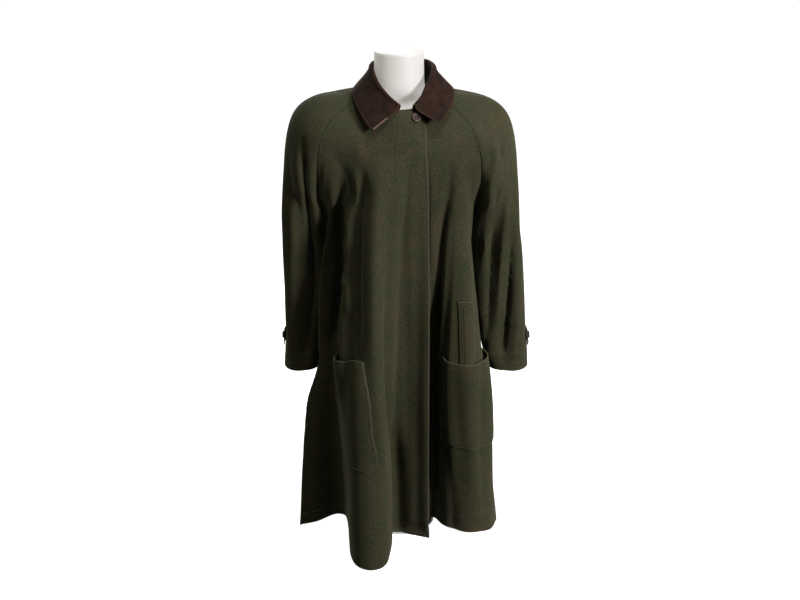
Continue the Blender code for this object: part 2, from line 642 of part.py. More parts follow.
def build_garment():
    """The outer grids and shared normals of every body panel and sleeve half."""
    grids = {
        f"front_{side}": front_grid(f"front_{side}", -edge, FRONT_COLUMNS[side], PATCHES[side])
        for side, edge in (("right", PLACKET_EDGE), ("left", UNDER_EDGE))
    }
    grids["back"] = back_grid()
    for side in ("right", "left"):
        for half in ("sleeve_front", "sleeve_back"):
            grids[f"{half}_{side}"] = sleeve_grid(half, side)
    normals = {}
    for name, grid in grids.items():
        kind = name.rsplit("_", 1)[0] if name.startswith("sleeve") else name
        normals[name] = grid_normals(grid, grid_faces_out(grid, kind))
    for name in ("front_right", "sleeve_front_right", "sleeve_back_right"):
        grids[name], normals[name] = mirrored(grids[name]), mirrored(normals[name])

    last = (slice(None), -1)
    for side, back_column in (("left", 0), ("right", -1)):
        front, back = normals[f"front_{side}"], normals["back"]
        share_normals(front, last, back, (slice(None), back_column))
        above = slice(len(SKIRT_LEVELS) - 1, None)
        raglan = slice(RAGLAN_STEPS, None, -1)
        for half, body, column in (
            ("sleeve_front", front, -1),
            ("sleeve_back", back, back_column),
        ):
            share_normals(body, (above, column), normals[f"{half}_{side}"], (raglan, 0))
        first, second = normals[f"sleeve_front_{side}"], normals[f"sleeve_back_{side}"]
        share_normals(first, last, second, last)
        below = (slice(RAGLAN_STEPS, None), 0)
        share_normals(first, below, second, below)

    whole, whole_out = grids.pop("back"), normals.pop("back")
    for name, half in (
        ("back_left", slice(0, BACK_COLUMNS + 1)),
        ("back_right", slice(BACK_COLUMNS, None)),
    ):
        grids[name], normals[name] = whole[:, half], whole_out[:, half]

    edges = {"front_right": [(-1, -2)], "front_left": [(-1, -2)]}
    for name in grids:
        grids[name] = drawn_in(grids[name], edges.get(name, [(0, 1), (-1, -2)]))
    return grids, normals


def add_panels(grids, normals):
    for name, grid in grids.items():
        wall(name, grid, grid - normals[name] * CLOTH, LODEN)


def add_pocket(side, grids, normals):
    """A patch pocket on a front, made from the front's points. Its mouth stands open and
    its top edge sags, on the wearer's right side most at the deep fold's edge."""
    patch = PATCHES[side]
    rows = slice(SKIRT_LEVELS.index(POCKET_BOTTOM_Z), SKIRT_LEVELS.index(patch.mouth_z) + 1)
    first = FRONT_COLUMNS[side][0]
    cells = (rows, slice(first, first + POCKET_COLUMNS + 1))
    points, out = grids[f"front_{side}"][cells], normals[f"front_{side}"][cells]
    up = np.linspace(0.0, 1.0, points.shape[0])[:, None]
    across = np.linspace(0.0, 1.0, points.shape[1])[None, :]
    belly = np.sin(math.pi * across) ** 0.7 * smooth_step(up) * patch.gape
    inner = points + out * (LYING + belly)[..., None]
    low = smooth_step(across / 0.4) * smooth_step((1 - across) / 0.4)
    inner[..., 2] = inner[..., 2] - patch.sag * low * smooth_step(up) ** 2
    wall(f"patch_pocket_{side}", inner + out * CLOTH, inner, LODEN)


def add_welt(side, columns, grids, normals):
    """The welt of a side pocket, above the patch pocket and down into its mouth."""
    first_row = SKIRT_LEVELS.index(PATCHES[side].mouth_z) - 1
    first_column = FRONT_COLUMNS[side][0]
    cells = (
        slice(first_row, SKIRT_LEVELS.index(WELT_TOP_Z) + 1),
        slice(first_column + columns[0], first_column + columns[1] + 1),
    )
    points, out = grids[f"front_{side}"][cells], normals[f"front_{side}"][cells]
    wall(f"welt_{side}", points + out * (LYING + CLOTH), points + out * LYING, LODEN)


def neckline(side, start):
    """The line of the neck seam from the collar's front end to the centre back, x > 0."""
    top = (float(len(RIDGE) - 1),)
    front, along = body_row(top, f"front_{side}")
    v = np.linspace(0.0, 1.0, 41)
    parts = [front[along >= start]]
    parts.append(arc(*sleeve_ends(top, "sleeve_front", side), v)[1:])
    parts.append(arc(*sleeve_ends(top, "sleeve_back", side), v)[::-1][1:])
    back, along = body_row(top, "back")
    parts.append(back[along >= 0][::-1][1:])
    return np.vstack(parts)


def collar_half(side):
    """Middle surface of half a collar, x > 0, from the neck seam over the roll to its edge."""
    table = COLLAR_RIGHT if side == "right" else COLLAR_LEFT
    seam = neckline(side, table[0].roll[0])
    keys = [row.along for row in table]
    rows = []
    for along in np.linspace(0.0, 1.0, COLLAR_COLUMNS + 1):
        base = resampled(seam, [along])[0] + (0, 0, STAND_GAP + CLOTH * 0.2)
        roll = np.array([table_curve(keys, [r.roll[i] for r in table], along) for i in range(3)])
        edge = np.array([table_curve(keys, [r.edge[i] for r in table], along) for i in range(3)])
        radius = float(table_curve(keys, [r.roll_r for r in table], along))
        outward = unit((edge - roll) * (1, 1, 0))
        base = base - unit(base * (1, 1, 0)) * (CLOTH / 2)
        rise = roll - outward * radius - base
        stand = base + np.linspace(0, 1, STAND_CELLS + 1)[:, None] * rise
        turn = np.linspace(math.pi, 0.0, ROLL_CELLS + 1)[1:, None]
        bend = roll + radius * (outward * np.cos(turn) + np.array([0, 0, 1]) * np.sin(turn))
        reach = np.linalg.norm(edge - roll)
        leave = np.array([0.0, 0.0, -0.55 * reach])
        fall = arc(bend[-1], leave, edge, edge - roll, np.linspace(0, 1, FALL_CELLS + 1))
        rows.append(np.vstack([stand, bend, fall[1:]]))
    return np.array(rows)


def add_collar():
    right = mirrored(collar_half("right"))
    left = collar_half("left")
    middle = np.concatenate([right, left[-2::-1]])
    out = grid_normals(middle, 1.0)
    wall("collar", middle + out * (CLOTH / 2), middle - out * (CLOTH / 2), CORDUROY)


def facing(point, normal):
    """The matrix that stands a thing at a point with its Z along the normal."""
    turn = Vector(normal).to_track_quat("Z", "Y").to_matrix().to_4x4()
    return Matrix.Translation(Vector(point)) @ turn


def add_button(name, radius, seat, normal):
    """A turned horn button with a raised rim and a dished middle, on a point of the cloth."""
    half = BUTTON_T / 2
    profile = (
        (0.0, half * 0.35), (radius * 0.52, half * 0.35), (radius * 0.70, half * 0.95),
        (radius * 0.88, half), (radius, half * 0.45), (radius, -half * 0.35),
        (radius * 0.80, -half), (0.0, -half),
    )
    made = bmesh.new()
    segments = 20
    rings = []
    for r, z in profile:
        if r == 0:
            rings.append([made.verts.new((0, 0, z))])
            continue
        angles = [2 * math.pi * i / segments for i in range(segments)]
        rings.append([made.verts.new((r * math.cos(a), r * math.sin(a), z)) for a in angles])
    for ring, below in zip(rings, rings[1:]):
        for i in range(segments):
            k = (i + 1) % segments
            corners = [ring[i % len(ring)], below[i % len(below)], below[k % len(below)],
                       ring[k % len(ring)]]
            made.faces.new(list(dict.fromkeys(corners)))
    point = seat + unit(normal) * (half + LYING + 0.0003)
    bmesh.ops.transform(made, matrix=facing(point, normal), verts=made.verts)
    bmesh.ops.recalc_face_normals(made, faces=made.faces)
    mesh = bpy.data.meshes.new(name)
    made.to_mesh(mesh)
    made.free()
    mesh.shade_smooth()
    mesh.set_sharp_from_angle(angle=math.radians(40))
    add_object(name, mesh, HORN)


def add_tab(side, grids, normals):
    """A cuff tab: a strap round the back of the sleeve, its end buttoned at the overarm."""
    rows = [RAGLAN_STEPS + 1 + ARM_LEVELS.index(z) for z in TAB_LEVELS]
    over_front = slice(SLEEVE_COLUMNS - 1, SLEEVE_COLUMNS - 2, -1)
    points, out = [], []
    for row in rows:
        back = grids[f"sleeve_back_{side}"][row, 2:]
        front = grids[f"sleeve_front_{side}"][row, over_front]
        points.append(np.vstack([back, front]))
        back_out = normals[f"sleeve_back_{side}"][row, 2:]
        front_out = normals[f"sleeve_front_{side}"][row, over_front]
        out.append(np.vstack([back_out, front_out]))
    points, out = np.array(points), np.array(out)
    lift = np.zeros(points.shape[1])
    lift[-1] = 0.0022
    inner = points + out * (LYING + lift)[None, :, None]
    wall(f"cuff_tab_{side}", inner + out * CLOTH, inner, LODEN)
    seat = (inner + out * CLOTH)[:, -2].mean(0)
    add_button(f"cuff_button_{side}", CUFF_BUTTON_R, seat, out[:, -2].mean(0))


def add_neck_button(grids, normals):
    """The one button that shows, at the neck on the placket."""
    grid, out = grids["front_right"], normals["front_right"]
    column = int(np.argmin(np.abs(grid[-3, :, 0] - NECK_BUTTON[0])))
    heights = grid[:, column, 2]
    seat = [np.interp(NECK_BUTTON[1], heights, grid[:, column, i]) for i in range(3)]
    normal = [np.interp(NECK_BUTTON[1], heights, out[:, column, i]) for i in range(3)]
    add_button("neck_button", BUTTON_R, np.array(seat), unit(normal))


def add_form_torso():
    """The smooth white torso and neck that the coat hangs on."""
    made = bmesh.new()
    loops = []
    angles = np.linspace(0.0, 2 * math.pi, FORM_SEGMENTS, endpoint=False)
    for ring in FORM_RINGS:
        power = 2 / ring.power
        cos, sin = np.cos(angles), np.sin(angles)
        x = ring.half_x * np.sign(sin) * np.abs(sin) ** power
        reach = np.where(cos > 0, -ring.front_y, ring.back_y)
        y = -reach * np.sign(cos) * np.abs(cos) ** power
        loops.append([made.verts.new((a, b, ring.z)) for a, b in zip(x, y)])
    for low, high in zip(loops, loops[1:]):
        for i in range(FORM_SEGMENTS):
            k = (i + 1) % FORM_SEGMENTS
            made.faces.new((low[i], low[k], high[k], high[i]))
    made.faces.new(loops[0])
    made.faces.new(loops[-1])
    bmesh.ops.recalc_face_normals(made, faces=made.faces)
    mesh = bpy.data.meshes.new("form_torso")
    made.to_mesh(mesh)
    made.free()
    mesh.shade_smooth()
    mesh.set_sharp_from_angle(angle=math.radians(50))
    add_object("form_torso", mesh, FORM_WHITE)


def add_cylinder(name, radius, low_z, high_z, segments, finish):
    bpy.ops.mesh.primitive_cylinder_add(
        vertices=segments, radius=radius, depth=high_z - low_z,
        location=(0.0, 0.0, (low_z + high_z) / 2),
    )
    obj = bpy.context.object
    obj.name = obj.data.name = name
    obj.data.materials.append(material(finish))
    for collection in list(obj.users_collection):
        collection.objects.unlink(obj)
    PARTS.objects.link(obj)
    return obj


def add_stand():
    """The pole under the torso and the flat round foot that the whole part stands on."""
    foot = add_cylinder("form_foot", FOOT_R, 0.0, FOOT_T, 48, STEEL)
    bevel = foot.modifiers.new("edge", "BEVEL")
    bevel.width, bevel.segments, bevel.limit_method = 0.003, 1, "ANGLE"
    add_cylinder("form_pole", POLE_R, FOOT_T + SEAM, FORM_BOTTOM_Z - SEAM, 20, STEEL)


for old in list(bpy.data.objects):
    bpy.data.objects.remove(old)
PARTS = bpy.data.collections.new("loden_coat")
bpy.context.scene.collection.children.link(PARTS)

GRIDS, NORMALS = build_garment()
add_panels(GRIDS, NORMALS)
add_pocket("right", GRIDS, NORMALS)
add_pocket("left", GRIDS, NORMALS)
add_welt("right", (5, 7), GRIDS, NORMALS)
add_welt("left", (2, 4), GRIDS, NORMALS)
add_collar()
add_tab("right", GRIDS, NORMALS)
add_tab("left", GRIDS, NORMALS)
add_neck_button(GRIDS, NORMALS)
add_form_torso()
for worn in PARTS.objects:
    worn.data.transform(Matrix.Translation((0.0, -STAND_Y, 0.0)))
add_stand()
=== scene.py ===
"""Looks of the loden coat on its dress form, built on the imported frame.

Every cloth panel is drawn again on the form of its solid, from the same tables, as a thin
shell of small cells. Folds, creases and puckers are laid on it along lines measured in the
photograph, and seams, topstitching, nap, wales and lining are added. Metres, +Z up. The
coat faces -Y, and its wearer's left is at +X.
"""

import math
from collections import namedtuple

import bmesh
import bpy
import numpy as np
from mathutils import Matrix, Vector, noise


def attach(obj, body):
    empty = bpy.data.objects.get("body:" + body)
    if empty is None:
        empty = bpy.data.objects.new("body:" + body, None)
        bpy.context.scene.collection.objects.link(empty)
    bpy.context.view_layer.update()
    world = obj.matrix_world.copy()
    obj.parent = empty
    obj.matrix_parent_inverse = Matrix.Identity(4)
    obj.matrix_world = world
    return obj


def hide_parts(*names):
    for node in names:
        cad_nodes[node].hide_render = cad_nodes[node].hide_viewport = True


def rows_of(kind, *rows):
    """A table of rows with named columns."""
    return [kind(*row) for row in rows]


# Cloth and seams, as in the solids
CLOTH = 0.0024
SEAM = 0.0003
LYING = 0.0004
PLACKET_EDGE = 0.058
UNDER_EDGE = 0.030
LAYER_DROP = 0.0042
HEM_Z = 0.022
STAND_Y = 0.075
NECK_R = 0.052
NECK_FOOT_Z, NECK_TOP_Z = 1.0395, 1.119

# Cells of the shells: rows between two of the solids' levels, and columns
ROWS_EACH = 10
RAGLAN_STEPS = 60
FRONT_COLUMNS = {"right": (60, 36), "left": (42, 18)}
POCKET_COLUMNS = 48
BACK_COLUMNS = 72
SLEEVE_COLUMNS = 44
SLEEVE_ROWS_EACH = 7
EASE_REACH = 14    # rows over which the cloth is evened out at the underarms
EASE_FROM_SEAM = 0.018
CREASE_MIDDLE = 0.003    # within it a crease goes over from one side's width to the other's

# Camera of the photograph
CAMERA_AT = (0.0021, -3.075, 1.609)
CAMERA_TILT = 71.0
LENS = 64.85
SENSOR = 36.0
PICTURE = (800, 600)

# Rows of stitches: their distance from the edge or seam beside them
EDGE_STITCH = 0.0065
TOPSTITCH = 0.0060
HEM_STITCH = 0.030
TAB_END_STITCH = 0.004
EDGE_STEPS = (0.0, 0.0012, 0.0026, 0.0042, 0.0060, 0.0082)    # columns beside a free edge
POCKET_STITCHES = (0.002, 0.0085)
MOUTH_STITCH = 0.022
POCKET_CORNER = 0.024
FAR_CORNER_DROP = 0.036    # of the right pocket's mouth, behind the deep fold
FAR_CORNER_FROM = 0.62     # share of the pocket's width where the drop starts
WELT_COLUMNS = {"right": (30, 42), "left": (12, 24)}    # counted from the pocket's first
THREAD_SIDES = 5
# The same in rows of cells: a pocket's mouth and bottom, the cuff and a cuff tab's sides
MOUTH_STITCH_ROW = 4.2
BOTTOM_STITCH_ROWS = (0.45, 1.9)
CUFF_STITCH_ROW = 5.2
TAB_STITCH_ROW = 0.9
WALE = 0.0030           # of the corduroy
WALE_HEIGHT = 0.00035

# The fly's row of stitches on the wearer's right front, in the photograph's pixels
FLY_PIXELS = (
    (397, 122), (397, 200), (397, 290), (397, 370), (400, 388), (409, 401), (420, 407), (427, 410)
)

# The buttonhole's end beside the neck button
BUTTONHOLE_PIXELS = ((406.5, 117.2), (409.5, 117.6), (412.5, 118.2))
# The frayed edge of the collar's end on the wearer's right: how many cells in from the edge
# the loose threads reach, their first and last place in cells from the leaf's outer edge,
# and how far apart they are and how far they slant
FRAY_ROWS = 8.0
FRAY_CELLS = (13, 2)
FRAY_APART = 0.62
FRAY_SLANT = 0.25

# Lesser folds that show in the photograph: panels, the line in its pixels, then in
# millimetres the height at each of its points, and how far it falls off to the two sides
CREASES = (
    # the deep fold's edge, the valley behind it and the ridge of the side of the skirt
    ("front_right", ((349, 172), (349, 200), (349, 235), (349, 262), (348, 300), (345, 335)),
     (0, 5, 7, 8, 8, 5), 15, 7),
    ("front_right", ((342, 162), (341, 185), (341, 220), (340, 250), (338, 285), (335, 320),
     (331, 345)), (0, -7, -11, -16, -21, -20, -10), 9, 12),
    ("front_right", ((333, 170), (334, 200), (332, 235), (326, 270), (320, 308), (314, 345)),
     (0, 8, 13, 17, 16, 6), 10, 13),
    # soft folds of the wearer's right front
    ("front_right", ((366, 150), (362, 200), (359, 260), (358, 320), (358, 356)),
     (0, -6, -8, -8, -3), 12, 9),
    ("front_right", ((378, 160), (376, 206), (374, 270), (374, 340), (378, 410), (384, 470)),
     (0, 3, 5, 6, 6, 4), 10, 14),
    ("front_right", ((392, 150), (391, 200), (389, 260), (389, 330), (391, 400), (396, 470),
     (398, 530)), (0, -5, -10, -14, -19, -21, -18), 18, 16),
    ("front_right", ((412, 150), (411, 230), (412, 320), (413, 420), (412, 520)), (0, 3, 3, 2, 3),
     12, 10),
    ("front_right", ((428, 200), (428, 260), (429, 330), (429, 420), (430, 520)),
     (0, 9, 19, 20, 16), 4, 24),
    # the wearer's left front: the strip beside the placket, the dark wedge and the pocket's ridge
    ("front_left", ((433, 160), (432, 189), (431, 230), (431, 280)), (0, 3, 3, 0), 8, 6),
    ("front_left", ((452, 165), (449, 195), (442, 235), (436, 300), (433, 360), (433, 430),
     (435, 490)), (0, -10, -16, -26, -32, -30, -8), 9, 13),
    ("front_left", ((457, 205), (455, 245), (453, 300), (451, 350), (450, 420), (455, 480)),
     (0, 5, 8, 10, 9, 0), 26, 8),
    ("front_left", ((461, 175), (465, 223), (467, 300), (469, 391), (474, 468), (478, 515)),
     (0, 9, 13, 14, 10, 4), 13, 20),
    ("front_left", ((474, 150), (475, 185), (472, 225), (470, 250)), (0, 4, 3, 0), 10, 10),
    ("front_left", ((450, 470), (452, 500), (452, 526)), (0, -4, -6), 16, 12),
    # the wearer's right sleeve
    ("sleeve_front_right", ((296, 140), (294, 180), (293, 230), (293, 290), (296, 340)),
     (0, 4, 6, 5, 2), 9, 10),
    ("sleeve_front_right", ((302, 135), (303, 165), (306, 200), (311, 240), (314, 275), (310, 320),
     (306, 350)), (0, -14, -22, -26, -22, -15, -5), 7, 8),
    ("sleeve_front_right", ((311, 150), (313, 190), (318, 225), (321, 250)), (0, 4, 4, 0), 7, 8),
    ("sleeve_front_right", ((289, 300), (298, 312), (309, 316)), (0, -3, 0), 7, 8),
    ("sleeve_front_right", ((290, 322), (300, 334), (310, 336)), (0, 3, 0), 8, 7),
    # the wearer's left sleeve
    ("sleeve_front_left", ((496, 130), (495, 150), (491, 195), (485, 249), (483, 280)),
     (0, 7, 11, 9, 0), 6, 8),
    ("sleeve_front_left", ((502, 128), (502, 150), (499, 195), (492, 250), (489, 300), (487, 345)),
     (0, -6, -8, -10, -9, -3), 7, 5),
    ("sleeve_front_left", ((509, 170), (506, 215), (502, 255), (499, 291), (495, 345)),
     (0, 7, 10, 9, 3), 6, 9),
    ("sleeve_front_left", ((514, 225), (511, 260), (507, 305), (502, 350)), (0, -11, -17, -6), 7,
     6),
    ("sleeve_front_left", ((521, 240), (519, 280), (517, 320), (514, 355)), (0, 5, 6, 2), 6, 8),
    ("sleeve_front_left", ((500, 300), (508, 318), (519, 330)), (0, 3, 0), 7, 8),
    ("sleeve_front_left", ((487, 322), (488, 338), (490, 354)), (0, 8, 6), 20, 20),
    # drag lines of the chest, from the armholes
    ("front_right", ((330, 150), (342, 168), (352, 192), (356, 215)), (0, -3, -4, 0), 10, 10),
    ("front_right", ((352, 130), (362, 160), (370, 195)), (0, 3, 0), 14, 14),
    ("front_left", ((468, 130), (460, 160), (455, 190)), (0, 3, 0), 12, 14),
)
# Folds that the photograph doesn't show, their points as shares of a panel's rows and columns
HIDDEN_CREASES = (
    ("back_left back_right", ((0.02, 0.3), (0.25, 0.33), (0.5, 0.36), (0.72, 0.44)), (7, 6, 4, 0),
     20, 14),
    ("back_left", ((0.02, 0.62), (0.3, 0.6), (0.52, 0.58), (0.7, 0.52)), (-8, -7, -4, 0), 14, 20),
    ("back_left", ((0.02, 0.82), (0.2, 0.8), (0.42, 0.74)), (6, 5, 0), 14, 16),
    ("back_right", ((0.02, 0.24), (0.34, 0.28), (0.6, 0.35)), (-7, -6, 0), 16, 18),
    ("back_right", ((0.02, 0.55), (0.3, 0.55), (0.66, 0.6)), (7, 5, 0), 20, 14),
    ("back_right", ((0.02, 0.8), (0.28, 0.77), (0.48, 0.7)), (-6, -5, 0), 14, 16),
    ("sleeve_back_left", ((0.3, 0.3), (0.45, 0.42), (0.62, 0.46), (0.8, 0.4)), (0, 6, 6, 0), 14,
     10),
    ("sleeve_back_left", ((0.58, 0.1), (0.64, 0.35), (0.63, 0.65)), (0, -5, 0), 10, 10),
    ("sleeve_back_right", ((0.28, 0.34), (0.48, 0.45), (0.66, 0.43), (0.84, 0.36)), (0, 5, 7, 0),
     12, 12),
    ("sleeve_back_right", ((0.6, 0.12), (0.67, 0.38), (0.65, 0.7)), (0, -5, 0), 9, 11),
)
COLLAR_CREASES = (
    (((421, 93), (430, 90), (440, 87)), (0, 1.6, 0), 4, 3),
    (((418, 102), (431, 105), (447, 101)), (0.6, 1.2, 0), 3, 3),
    (((366, 92), (374, 100), (384, 106)), (0, -1.4, 0), 6, 5),
)

# Slight unevenness of the cloth: size of its waves, their height, a seed for each panel and
# the width of the edges that stay even
ROUGHNESS = ((0.11, 0.0022, 3.1, 0.020), (0.045, 0.0007, 7.7, 0.012))

# Width and length that each piece of cloth was cut to, and its area
CUTS = {
    "front_right": ((0.607, 1.127), 0.431),
    "front_left": ((0.437, 1.127), 0.336),
    "back_left": ((0.392, 1.142), 0.271),
    "back_right": ((0.380, 1.142), 0.267),
    "sleeve_front_right": ((0.237, 0.753), 0.124),
    "sleeve_back_right": ((0.200, 0.756), 0.117),
    "sleeve_front_left": ((0.240, 0.759), 0.130),
    "sleeve_back_left": ((0.212, 0.759), 0.124),
    "collar": ((0.144, 0.668), 0.065),
    "patch_pocket_right": ((0.204, 0.262), 0.0434),
    "patch_pocket_left": ((0.226, 0.237), 0.0429),
    "welt_right": ((0.046, 0.137), 0.0060),
    "welt_left": ((0.059, 0.182), 0.0106),
    "cuff_tab_right": ((0.156, 0.033), 0.0049),
    "cuff_tab_left": ((0.171, 0.033), 0.0054),
}

# Lights: name, place, aim, width, power and colour
LIGHTS = (
    ("key", (2.5, -2.5, 1.9), (0.05, -0.05, 0.55), 0.8, 178.0, (1.0, 0.985, 0.955)),
    ("top", (0.5, -0.8, 3.3), (0.0, 0.0, 0.8), 1.3, 50.0, (1.0, 0.99, 0.97)),
    ("fill", (-2.7, -2.0, 1.5), (0.0, 0.0, 0.6), 1.8, 11.0, (0.95, 1.0, 0.66)),
    ("behind", (-0.6, 2.4, 2.2), (0.0, 0.0, 0.7), 1.6, 22.0, (1.0, 1.0, 1.0)),
)

# The skirt below the underarm, a row for each height: where the side seam runs, how far
# the centre front and centre back stand out, and how far the cloth swells in front of
# the side seam, where it hangs clear of the sleeve
Skirt = namedtuple("Skirt", "z side_x side_y front_y back_y lobe")
SKIRT = rows_of(
    Skirt,
    (0.022, 0.2290, 0.030, -0.112, 0.222, 0.000),
    (0.100, 0.2200, 0.030, -0.114, 0.215, 0.008),
    (0.210, 0.2060, 0.030, -0.117, 0.203, 0.020),
    (0.330, 0.1900, 0.028, -0.121, 0.190, 0.030),
    (0.420, 0.1590, 0.020, -0.124, 0.180, 0.045),
    (0.500, 0.1490, 0.020, -0.126, 0.171, 0.040),
    (0.570, 0.1430, 0.020, -0.128, 0.163, 0.037),
    (0.650, 0.1400, 0.018, -0.130, 0.155, 0.029),
    (0.730, 0.1440, 0.014, -0.131, 0.147, 0.016),
    (0.790, 0.1625, 0.012, -0.131, 0.140, 0.000),
)

# The raglan seams from the underarm to the neck: the seam, the centre line's point on the
# same row, and the way in which the body's cloth and the sleeve's cloth cross the seam
Raglan = namedtuple("Raglan", "seam centre_y centre_z body_way sleeve_way")
RAGLAN_FRONT = rows_of(
    Raglan,
    ((0.1625, 0.012, 0.790), -0.131, 0.790, (0.00, 1.00, 0.00), (0.00, -1.00, 0.00)),
    ((0.1680, -0.038, 0.820), -0.131, 0.812, (0.35, 0.93, 0.00), (0.10, -1.00, 0.00)),
    ((0.1710, -0.074, 0.862), -0.130, 0.840, (0.80, 0.60, 0.00), (0.50, -0.85, 0.00)),
    ((0.1690, -0.096, 0.912), -0.128, 0.873, (0.97, 0.25, 0.00), (0.97, -0.10, 0.00)),
    ((0.1600, -0.100, 0.958), -0.124, 0.908, (1.00, 0.15, 0.06), (1.00, 0.10, 0.08)),
    ((0.1460, -0.090, 0.986), -0.119, 0.938, (0.93, 0.30, 0.22), (0.93, 0.28, 0.24)),
    ((0.1250, -0.071, 1.006), -0.113, 0.965, (0.80, 0.48, 0.36), (0.80, 0.50, 0.36)),
    ((0.1010, -0.053, 1.021), -0.106, 0.994, (0.66, 0.64, 0.40), (0.64, 0.68, 0.40)),
    ((0.0760, -0.042, 1.029), -0.096, 1.018, (0.58, 0.75, 0.20), (0.45, 0.85, 0.25)),
)
RAGLAN_BACK = rows_of(
    Raglan,
    ((0.1625, 0.012, 0.790), 0.140, 0.790, (0.00, -1.00, 0.00), (0.00, 1.00, 0.00)),
    ((0.1690, 0.060, 0.818), 0.139, 0.815, (0.40, -0.90, 0.00), (0.10, 1.00, 0.00)),
    ((0.1720, 0.092, 0.860), 0.138, 0.848, (0.85, -0.50, 0.00), (0.60, 0.80, 0.00)),
    ((0.1680, 0.112, 0.912), 0.135, 0.888, (0.97, -0.20, 0.00), (0.97, 0.05, 0.00)),
    ((0.1540, 0.118, 0.960), 0.130, 0.927, (1.00, -0.12, 0.04), (1.00, -0.08, 0.06)),
    ((0.1340, 0.110, 0.993), 0.121, 0.963, (0.93, -0.25, 0.15), (0.93, -0.24, 0.18)),
    ((0.1090, 0.090, 1.018), 0.108, 0.995, (0.85, -0.38, 0.25), (0.82, -0.42, 0.28)),
    ((0.0840, 0.070, 1.034), 0.093, 1.024, (0.75, -0.52, 0.20), (0.68, -0.62, 0.22)),
    ((0.0600, 0.055, 1.043), 0.078, 1.048, (0.78, -0.60, -0.06), (0.60, -0.78, -0.12)),
)
# The overarm seam on the same rows, and how strongly the sleeve's front and back arcs
# leave the raglan seam and arrive at it
Ridge = namedtuple("Ridge", "over leave arrive")
RIDGE = rows_of(
    Ridge,
    ((0.2540, 0.014, 0.790), 0.300, 0.300),
    ((0.2520, 0.013, 0.830), 0.240, 0.270),
    ((0.2490, 0.012, 0.882), 0.150, 0.240),
    ((0.2430, 0.010, 0.936), 0.100, 0.200),
    ((0.2290, 0.008, 0.986), 0.090, 0.170),
    ((0.2030, 0.005, 1.016), 0.085, 0.130),
    ((0.1670, 0.002, 1.0315), 0.080, 0.100),
    ((0.1240, 0.000, 1.0370), 0.060, 0.070),
    ((0.0820, 0.000, 1.0400), 0.045, 0.050),
)
# How far the overarm seam of the wearer's left sleeve lies further out than the right's
OVER_APART = 0.007

# The hanging sleeves below the underarm. The wearer's left one hangs further out.
Arm = namedtuple("Arm", "z inner_right outer_right inner_left outer_left y depth")
ARM = rows_of(
    Arm,
    (0.790, 0.1640, 0.2520, 0.1640, 0.2580, 0.013, 0.075),
    (0.740, 0.1560, 0.2530, 0.1560, 0.2630, 0.028, 0.076),
    (0.680, 0.1520, 0.2550, 0.1550, 0.2715, 0.042, 0.074),
    (0.600, 0.1550, 0.2550, 0.1630, 0.2785, 0.052, 0.070),
    (0.540, 0.1600, 0.2560, 0.1680, 0.2825, 0.058, 0.066),
    (0.488, 0.1670, 0.2560, 0.1780, 0.2860, 0.062, 0.061),
    (0.456, 0.1720, 0.2575, 0.1860, 0.2895, 0.064, 0.060),
    (0.404, 0.1800, 0.2610, 0.1990, 0.2930, 0.066, 0.060),
)
ARM_LEVELS = (0.760, 0.720, 0.680, 0.640, 0.600, 0.560, 0.520, 0.488, 0.456, 0.430, 0.404)
TAB_LEVELS = (0.488, 0.456)

# Patch pockets: width, height of the mouth, the pocket's centre as a share of the front's
# width at its bottom and at its mouth, and how far the mouth gapes and sags
Patch = namedtuple("Patch", "width mouth_z centre_low centre_top gape sag")
PATCHES = {
    "right": Patch(0.185, 0.495, 0.513, 0.637, 0.010, 0.014),
    "left": Patch(0.170, 0.467, 0.616, 0.677, 0.011, 0.006),
}
POCKET_BOTTOM_Z, WELT_TOP_Z = 0.250, 0.604
# Heights of the cloth's rows. The pockets' bottom and mouths and the welts' top are among them.
SKIRT_LEVELS = (
    HEM_Z, 0.058, 0.106, 0.154, 0.202, POCKET_BOTTOM_Z, 0.308, 0.366, 0.420,
    0.467, 0.495, 0.548, WELT_TOP_Z, 0.665, 0.728, 0.790,
)
# How far the sleeve's underarm point lies out of the body's
UNDERARM_GAP = 0.0015

# The front hems as they hang, each from its free edge to the side seam, as x, y, z with
# x > 0 on its own side. The wearer's right front falls in one deep fold with a valley
# beside it, and the left front falls back behind the placket. Both grow down from the chest.
FRONT_HEMS = {
    "front_right": (
        (-0.0680, -0.096, 0.040), (-0.0220, -0.089, 0.045), (0.0110, -0.090, 0.047),
        (0.0170, -0.135, 0.036), (0.0250, -0.174, 0.023), (0.0400, -0.193, 0.017),
        (0.0610, -0.198, 0.015), (0.0840, -0.190, 0.016), (0.1010, -0.168, 0.019),
        (0.1100, -0.132, 0.025), (0.1140, -0.080, 0.045), (0.1230, -0.030, 0.062),
        (0.1480, -0.010, 0.056), (0.1910, -0.020, 0.042), (0.2300, -0.014, 0.030),
        (0.2290, 0.030, 0.022),
    ),
    "front_left": (
        (-0.0300, -0.060, 0.046), (0.0200, -0.056, 0.046), (0.0560, -0.036, 0.048),
        (0.0780, -0.018, 0.052), (0.0980, -0.050, 0.051), (0.1260, -0.076, 0.050),
        (0.1560, -0.084, 0.048), (0.1860, -0.072, 0.044), (0.2110, -0.040, 0.034),
        (0.2290, 0.030, 0.022),
    ),
}
HEM_FOLDS_TOP_Z = 0.930

# How hard a skirt row's arc leaves and arrives, which rounds it, and how hard its side
# swells by the lobe in front of and behind the side seam
ROUNDNESS = 1.66
LOBE_PULL = 6.75
BACK_LOBE_SHARE = 0.35

